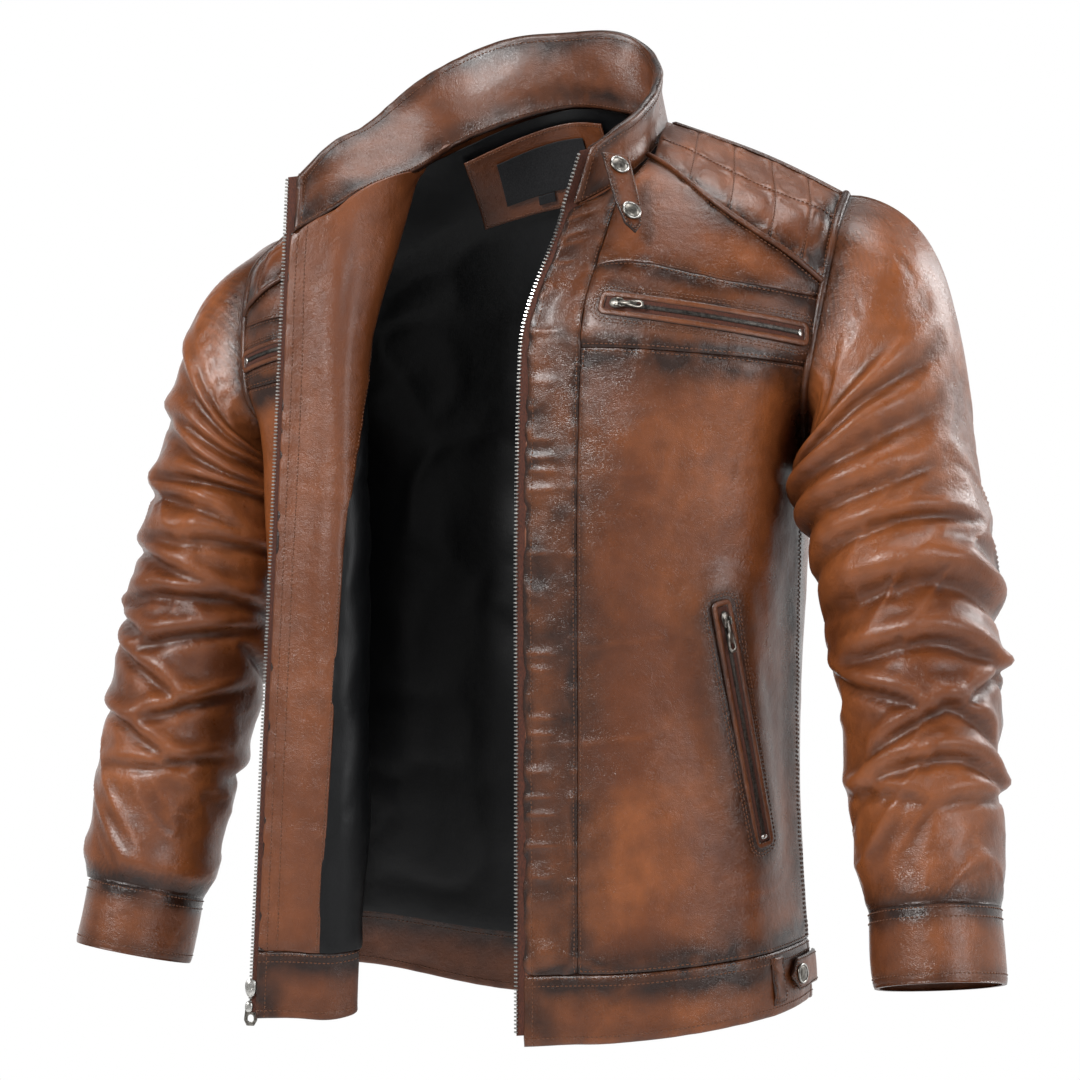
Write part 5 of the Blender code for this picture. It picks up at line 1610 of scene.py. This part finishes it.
def strip_place(near, middle, far, normals):
    """A surface over the unit square, through three lines side by side."""
    def place(u, v):
        spot = v.ravel() * (len(near) - 1)
        k = np.minimum(spot.astype(int), len(near) - 2)
        part = (spot - k)[:, None]
        a, b, c, n = (line[k] * (1 - part) + line[k + 1] * part
                      for line in (near, middle, far, normals))
        s = u.ravel()[:, None]
        low = a * (1 - 2 * s) + b * 2 * s
        high = b * (2 - 2 * s) + c * (2 * s - 1)
        points = np.where(s < 0.5, low, high)
        return points.reshape(*u.shape, 3), unit(n).reshape(*u.shape, 3)
    return place


def zip_half(side, line, across, outward, near, middle, sink):
    """One half of the main zip: woven tape from under the leather edge, and its teeth."""
    upward = unit(np.gradient(line, axis=0))
    far = line - across * 0.0003 - outward * (sink - 0.0004)
    panel(f"main_{side}_tape", [f"zip_tape_{side}"], strip_place(near, middle, far, outward),
          level(0), level(1), TAPE, slot="tape", cell=0.0018, thick=0.0007, rolls=0.0004,
          burn=UNBURNT, pucker=0.25)
    run = run_of(line, 0)
    places = np.arange(MAIN_PITCH, run[-1] - 0.001, MAIN_PITCH)
    mixed = [sampled(places, run, field)
             for field in (across, upward, outward, line - outward * sink)]
    frames = frames_of(*mixed)
    frames[:, :3, 0] = np.cross(frames[:, :3, 1], frames[:, :3, 2])
    teeth = copies(f"main_{side}_teeth", tooth_part(0.0016, 0.0012, 0.00075, 0.0011), frames, NICKEL)
    placed(teeth, "jacket", "nickel", f"zip_teeth_{side}")


heights = np.linspace(0.012, 0.842, 70)
left_line = LEFT_FRONT.at(1, heights)
left_edge = LEFT_FRONT.at(EDGE_U, heights)
left_out = LEFT_FRONT.normal(0.98, heights)
climb = np.linspace(0.06, 1, 9)[:, None]
collar_end = COLLAR_FOOT[0] + COLLAR_LIFT + (COLLAR_TOP[0] - COLLAR_FOOT[0] - COLLAR_LIFT) * climb
step_out = left_line[-1] - left_edge[-1]
left_near, left_middle = (LEFT_FRONT.folded(u, heights)[0] - left_out * sink
                          for u, sink in TAPE_UNDER)
left_line = np.vstack([left_line, collar_end + step_out])
left_near = np.vstack([left_near, collar_end - step_out * 0.3 - left_out[-1] * COLLAR_SINK[0]])
left_middle = np.vstack([left_middle, collar_end + step_out * 0.1 - left_out[-1] * COLLAR_SINK[1]])
left_out = np.vstack([left_out, np.repeat(left_out[-1:], 9, axis=0)])
left_across = unit(square_to(left_line - left_middle, left_out))
zip_half("left", left_line, left_across, left_out, left_near, left_middle, 0.0008)

MAIN_UP = (Vector(zip_line(MAIN_TOP)) - Vector(zip_line(0))).normalized()
MAIN_OUT = -Vector(swung(1, 0, 0))
MAIN_OUT = (MAIN_OUT - MAIN_UP * MAIN_OUT.dot(MAIN_UP)).normalized()
MAIN_FACE = MAIN_OUT.cross(MAIN_UP)


def main_frame(height, out=0.0):
    """The main zip's matrix at a height, moved out of the zip."""
    return turned(MAIN_OUT, MAIN_UP, MAIN_FACE, Vector(zip_line(height)) + MAIN_OUT * out)


right_heights = np.linspace(0.004, MAIN_TOP, 80)
right_line = np.array([zip_line(h) for h in right_heights])
levels = np.linspace(0, 0.85, 200)
right_v = np.interp(right_heights, RIGHT_FRONT.at(1, levels)[:, 2], levels)
on_collar = right_heights > RIGHT_FRONT.at(1, 0.845)[2] + 0.004
right_near, right_middle = (
    RIGHT_FRONT.folded(u, right_v)[0] - RIGHT_FRONT.normal(u, right_v) * sink
    for u, sink in TAPE_UNDER)
share = ((right_heights - COLLAR_FOOT[-1][2]) / (COLLAR_TOP[-1][2] - COLLAR_FOOT[-1][2]))[:, None]
right_end = COLLAR_FOOT[-1] + (COLLAR_TOP[-1] - COLLAR_FOOT[-1]) * np.clip(share, 0, 1)
beside = right_end - right_line
face = np.array(MAIN_FACE)
right_near = np.where(on_collar[:, None], right_end + beside * 0.3 - face * COLLAR_SINK[0],
                      right_near)
right_middle = np.where(on_collar[:, None], right_end - beside * 0.1 - face * COLLAR_SINK[1],
                        right_middle)
flat = np.ones((len(right_line), 1))
zip_half("right", right_line, flat * np.array(MAIN_OUT), flat * face, right_near, right_middle, 0.0)

hardware("retainer_box",
         [prism(box_outline(-0.0028, 0.0028, -0.0037, 0.0037), -0.0022, 0.0022, 0.0005)],
         main_frame(0.0080, 0.0009), NICKEL, "nickel", "jacket", "zip_box")
MAIN_GAP, MAIN_PLATE = 0.0018, 0.0013    # half the room between a slider's plates, and their thickness
PLATE = teardrop(0.0049, 0.0064)
BACK_LEVEL = -MAIN_GAP - MAIN_PLATE
main_parts = [
    prism(PLATE, BACK_LEVEL, -MAIN_GAP, 0.0004),
    prism(teardrop(0.0029, 0.0031) + (0, 0.0014), BACK_LEVEL - 0.0005, BACK_LEVEL + 0.0002, 0.0002,
          teardrop(0.0018, 0.0019) + (0, 0.0014)),
    prism(PLATE, MAIN_GAP, MAIN_GAP + MAIN_PLATE, 0.0004),
    prism(box_outline(0.0023, 0.0039, -0.0030, 0.0052), -MAIN_GAP - 0.0004, MAIN_GAP + 0.0004,
          0.0002)]
hardware("main_slider_body", main_parts + ear_parts(0.0028, 0.0060), main_frame(SLIDER_START),
         NICKEL, "nickel", "main_slider", "main_slider")
hardware("main_pull_tab", pull_parts(0.0270, 0.0052, 0.0016),
         main_frame(SLIDER_START) @ Matrix.Translation((0, PIN_BACK, 0.0049)), GUNMETAL, "gunmetal",
         "main_pull", "main_pull")

# ---------------------------------------------------------------- tabs and snaps
SNAP = [(0.0060, -0.0012), (0.0068, -0.0010), (0.0070, -0.0005), (0.0070, 0.0000), (0.0067, 0.0005),
        (0.0062, 0.0007), (0.0057, 0.0005), (0.0055, 0.0001), (0.0052, 0.0001), (0.0047, 0.0005),
        (0.0036, 0.0009), (0.0020, 0.00112), (0.0005, 0.0012)]
SNAP_RING = (4, 6)                       # the steps of the profile that are bright


def snap_cap(name, body, node, matrix):
    """A domed snap cap with a brighter ring."""
    points, faces = lathe(SNAP)
    index = [int(SNAP_RING[0] <= i // LATHE_SIDES < SNAP_RING[1]) for i in range(len(faces))]
    made = fitted(name, [(points, faces)], matrix, [GUNMETAL, NICKEL])
    made.data.polygons.foreach_set("material_index", index)
    placed(made, body, "gunmetal", node)


TAB_TOP, TAB_END = Vector((0.0955, -0.0915, 0.6000)), Vector((0.1185, -0.1120, 0.5420))
TAB_HALF, TAB_THICK = 0.0105, 0.0024
tab_down = (TAB_END - TAB_TOP).normalized()
tab_face = Vector((0.79, -0.61, 0.12))
tab_face = (tab_face - tab_down * tab_face.dot(tab_down)).normalized()
tab_length = (TAB_END - TAB_TOP).length
tab_frame = turned((-tab_down).cross(tab_face), -tab_down, tab_face, TAB_TOP)


def on_tab(u, v):
    frame_array = np.array(tab_frame)
    local = np.stack([u, v, TAB_THICK + 0.0004 * (lattice(u * 180, v * 90, 55) - 0.5)], -1)
    return (local @ frame_array[:3, :3].T + frame_array[:3, 3],
            np.broadcast_to(frame_array[:3, 2], (*u.shape, 3)))


left_side = [(-0.60 * TAB_HALF, -0.88 * tab_length), (-0.92 * TAB_HALF, -0.62 * tab_length), (-TAB_HALF, 0)]
right_side = [(-x, y) for x, y in left_side]
panel("collar_tab_leather", ["collar_tab"], on_tab, [left_side[0], (0, -tab_length), right_side[0]],
      [left_side[-1], right_side[-1]], body="collar_tab", cell=0.0011, left=left_side,
      right=right_side, thick=TAB_THICK, rolls=0.0011, burn=(0.75, 0.75, 0.75, 0.5), wide=0.0035,
      pucker=0.3, seams=[(edge, 0.0019) for edge in ("left", "right", "bottom")],
      stitch=FINE_STITCH)
SNAP_OFF = TAB_THICK + 0.0012
for node, share in (("collar_tab_snap", 0.74), ("collar_stud", 0.16)):
    snap_cap(f"{node}_cap", "collar_tab", node,
             tab_frame @ Matrix.Translation((0, -share * tab_length, SNAP_OFF)))

WAIST_V, WAIST_OFF = (0.020, 0.058), 0.0042


def waist_tab(side, sheet, back_from, back_to):
    """The strap from the back hem to its snap on the front hem."""
    stations_on = [(BACK, u) for u in np.linspace(back_from, back_to, 4)]
    stations_on += [(sheet, u) for u in (0.03, 0.07, 0.11, 0.155)]
    sides_of = []
    for v in WAIST_V:
        rows = [s.folded(u, v) for s, u in stations_on]
        sides_of.append(np.array([point + out * WAIST_OFF for point, out in rows]))
    outs = np.array([s.normal(u, sum(WAIST_V) / 2) for s, u in stations_on])
    middle = (sides_of[0] + sides_of[1]) / 2
    knots = run_of(middle, 0) / run_of(middle, 0)[-1]

    def place(u, v):
        weights = spline_weights(knots, u.ravel())
        low, high, out = (weights @ field for field in (sides_of[0], sides_of[1], outs))
        points = low + (high - low) * v.ravel()[:, None]
        out = unit(out)
        lift = 0.0006 * (lattice(u * 9, v * 2, 77) - 0.5).ravel()[:, None]
        return (points + out * lift).reshape(*u.shape, 3), out.reshape(*u.shape, 3)

    tip = [(0.86, 0), (1.0, 0.5), (0.86, 1)]
    panel(f"waist_tab_{side}_leather", [f"waist_tab_{side}"], place, level(0, 0.86),
          level(1, 0.86), body=f"waist_tab_{side}", cell=0.0014, right=tip, thick=0.0022,
          rolls=0.0011, burn=(0.4, 0.8, 0.8, 0.8), wide=0.0045, pucker=0.35,
          seams=[(edge, 0.0021) for edge in ("right", "bottom", "top")],
          stitch={"pitch": 0.0027, "length": 0.0020})
    spot = np.array([0.105, sum(WAIST_V) / 2])
    point, out = sheet.folded(*spot)
    out = Vector(out.tolist())
    up = Vector((sides_of[1][0] - sides_of[0][0]).tolist()).normalized()
    across = up.cross(out).normalized()
    snap_cap(f"waist_snap_{side}_cap", f"waist_tab_{side}", f"waist_snap_{side}",
             turned(across, out.cross(across), out, Vector(point.tolist()) + out * (WAIST_OFF + 0.0012)))


def anchor_strap(side, sheet):
    """The stitched strip on the hem that the waist tab fastens over."""
    def place(u, v):
        points, out = sheet.folded(u, v)
        wrinkle = 0.0010 * ridge(u * 30, v * 120, 19) ** 2
        return points + out * (0.0017 + wrinkle)[..., None], out

    panel(f"anchor_strap_{side}", [], place, level(0.012, 0.228, 0.172),
          level(0.066, 0.228, 0.172), cell=0.0013, burn=(0.7, 0.7, 0.6, 0.6), wide=0.004,
          pucker=0.9, seams=[(edge, 0.0018) for edge in EDGES], stitch=FINE_STITCH)


waist_tab("left", LEFT_FRONT, 0.075, 0.006)
waist_tab("right", RIGHT_FRONT, 0.925, 0.994)
anchor_strap("left", LEFT_FRONT)
anchor_strap("right", RIGHT_FRONT)
make_stitches()

# ---------------------------------------------------------------- camera, light and floor
scene = bpy.context.scene
CAMERA_TURN = radians(24)
WORLD_DIM = 0.10                         # brightness straight up and down, of 1 at eye level
WORLD_FRONT = 0.45                       # brightness in front of the jacket, of 1 behind it
CAMERA_PLACE = (0.6508, -1.5117, -0.368)
LENS, SENSOR = 73.07, 36.0
LENS_RISE = 1 / 18                       # how far the lens is shifted up, of the picture's width
camera_data = bpy.data.cameras.new("camera")
camera_data.lens, camera_data.sensor_width = LENS, SENSOR
camera_data.shift_y = LENS_RISE
camera_data.dof.use_dof = False
camera = bpy.data.objects.new("camera", camera_data)
camera.location = CAMERA_PLACE
camera.rotation_euler = (radians(90), 0, CAMERA_TURN)
scene.collection.objects.link(camera)
scene.camera = camera


def soft_light(name, place, target, size, power, colour=(1, 1, 1)):
    data = bpy.data.lights.new(name, "AREA")
    data.shape, data.size, data.energy, data.color = "DISK", size, power, colour
    made = bpy.data.objects.new(name, data)
    made.location = place
    made.rotation_euler = (Vector(target) - Vector(place)).to_track_quat("-Z", "Y").to_euler()
    scene.collection.objects.link(made)


soft_light("key", (-0.7, -2.5, 1.2), (0, 0, -0.25), 0.9, 78)
soft_light("fill", (2.6, -1.2, 0.2), (0, 0, -0.3), 1.2, 30, (0.97, 0.98, 1.0))
soft_light("top", (0.3, 0.2, 2.1), (0, 0, -0.2), 1.4, 30)
soft_light("rim", (1.6, 1.8, 0.9), (0, 0, -0.2), 1.0, 26)

world = bpy.data.worlds.new("studio")
world.use_nodes = True
backdrop = world.node_tree.nodes["Background"]
backdrop.inputs["Color"].default_value = (1, 1, 1, 1)
kinds = ("TexCoord", "SeparateXYZ", "Math", "MapRange", "MapRange", "Math")
sky = [world.node_tree.nodes.new(f"ShaderNode{kind}") for kind in kinds]
coordinates, split, size, fade, front, both = sky
size.operation, both.operation = "ABSOLUTE", "MULTIPLY"
for node, ramp in ((fade, (0.34, 0.75, 1.0, WORLD_DIM)), (front, (-0.30, 0.50, WORLD_FRONT, 1.0))):
    for socket, value in zip(("From Min", "From Max", "To Min", "To Max"), ramp):
        node.inputs[socket].default_value = value
for source, target in ((coordinates.outputs["Generated"], split.inputs[0]),
                       (split.outputs["Z"], size.inputs[0]), (size.outputs[0], fade.inputs["Value"]),
                       (split.outputs["Y"], front.inputs["Value"]),
                       (fade.outputs["Result"], both.inputs[0]), (front.outputs["Result"], both.inputs[1]),
                       (both.outputs[0], backdrop.inputs["Strength"])):
    world.node_tree.links.new(source, target)
scene.world = world
scene.view_settings.view_transform = "Standard"

FLOOR_LEVEL, FLOOR_HALF = -1.50, 2.6
floor_mesh = bpy.data.meshes.new("floor")
floor_mesh.from_pydata([(x * FLOOR_HALF, y * FLOOR_HALF, FLOOR_LEVEL) for x, y in
                        ((-1, -1), (1, -1), (1, 1), (-1, 1))], [], [(0, 1, 2, 3)])
floor_finish = Finish("floor", 0.85)
floor_finish.colour((0.86, 0.86, 0.86))
floor_mesh.materials.append(floor_finish.material)
floor = bpy.data.objects.new("floor", floor_mesh)
scene.collection.objects.link(floor)
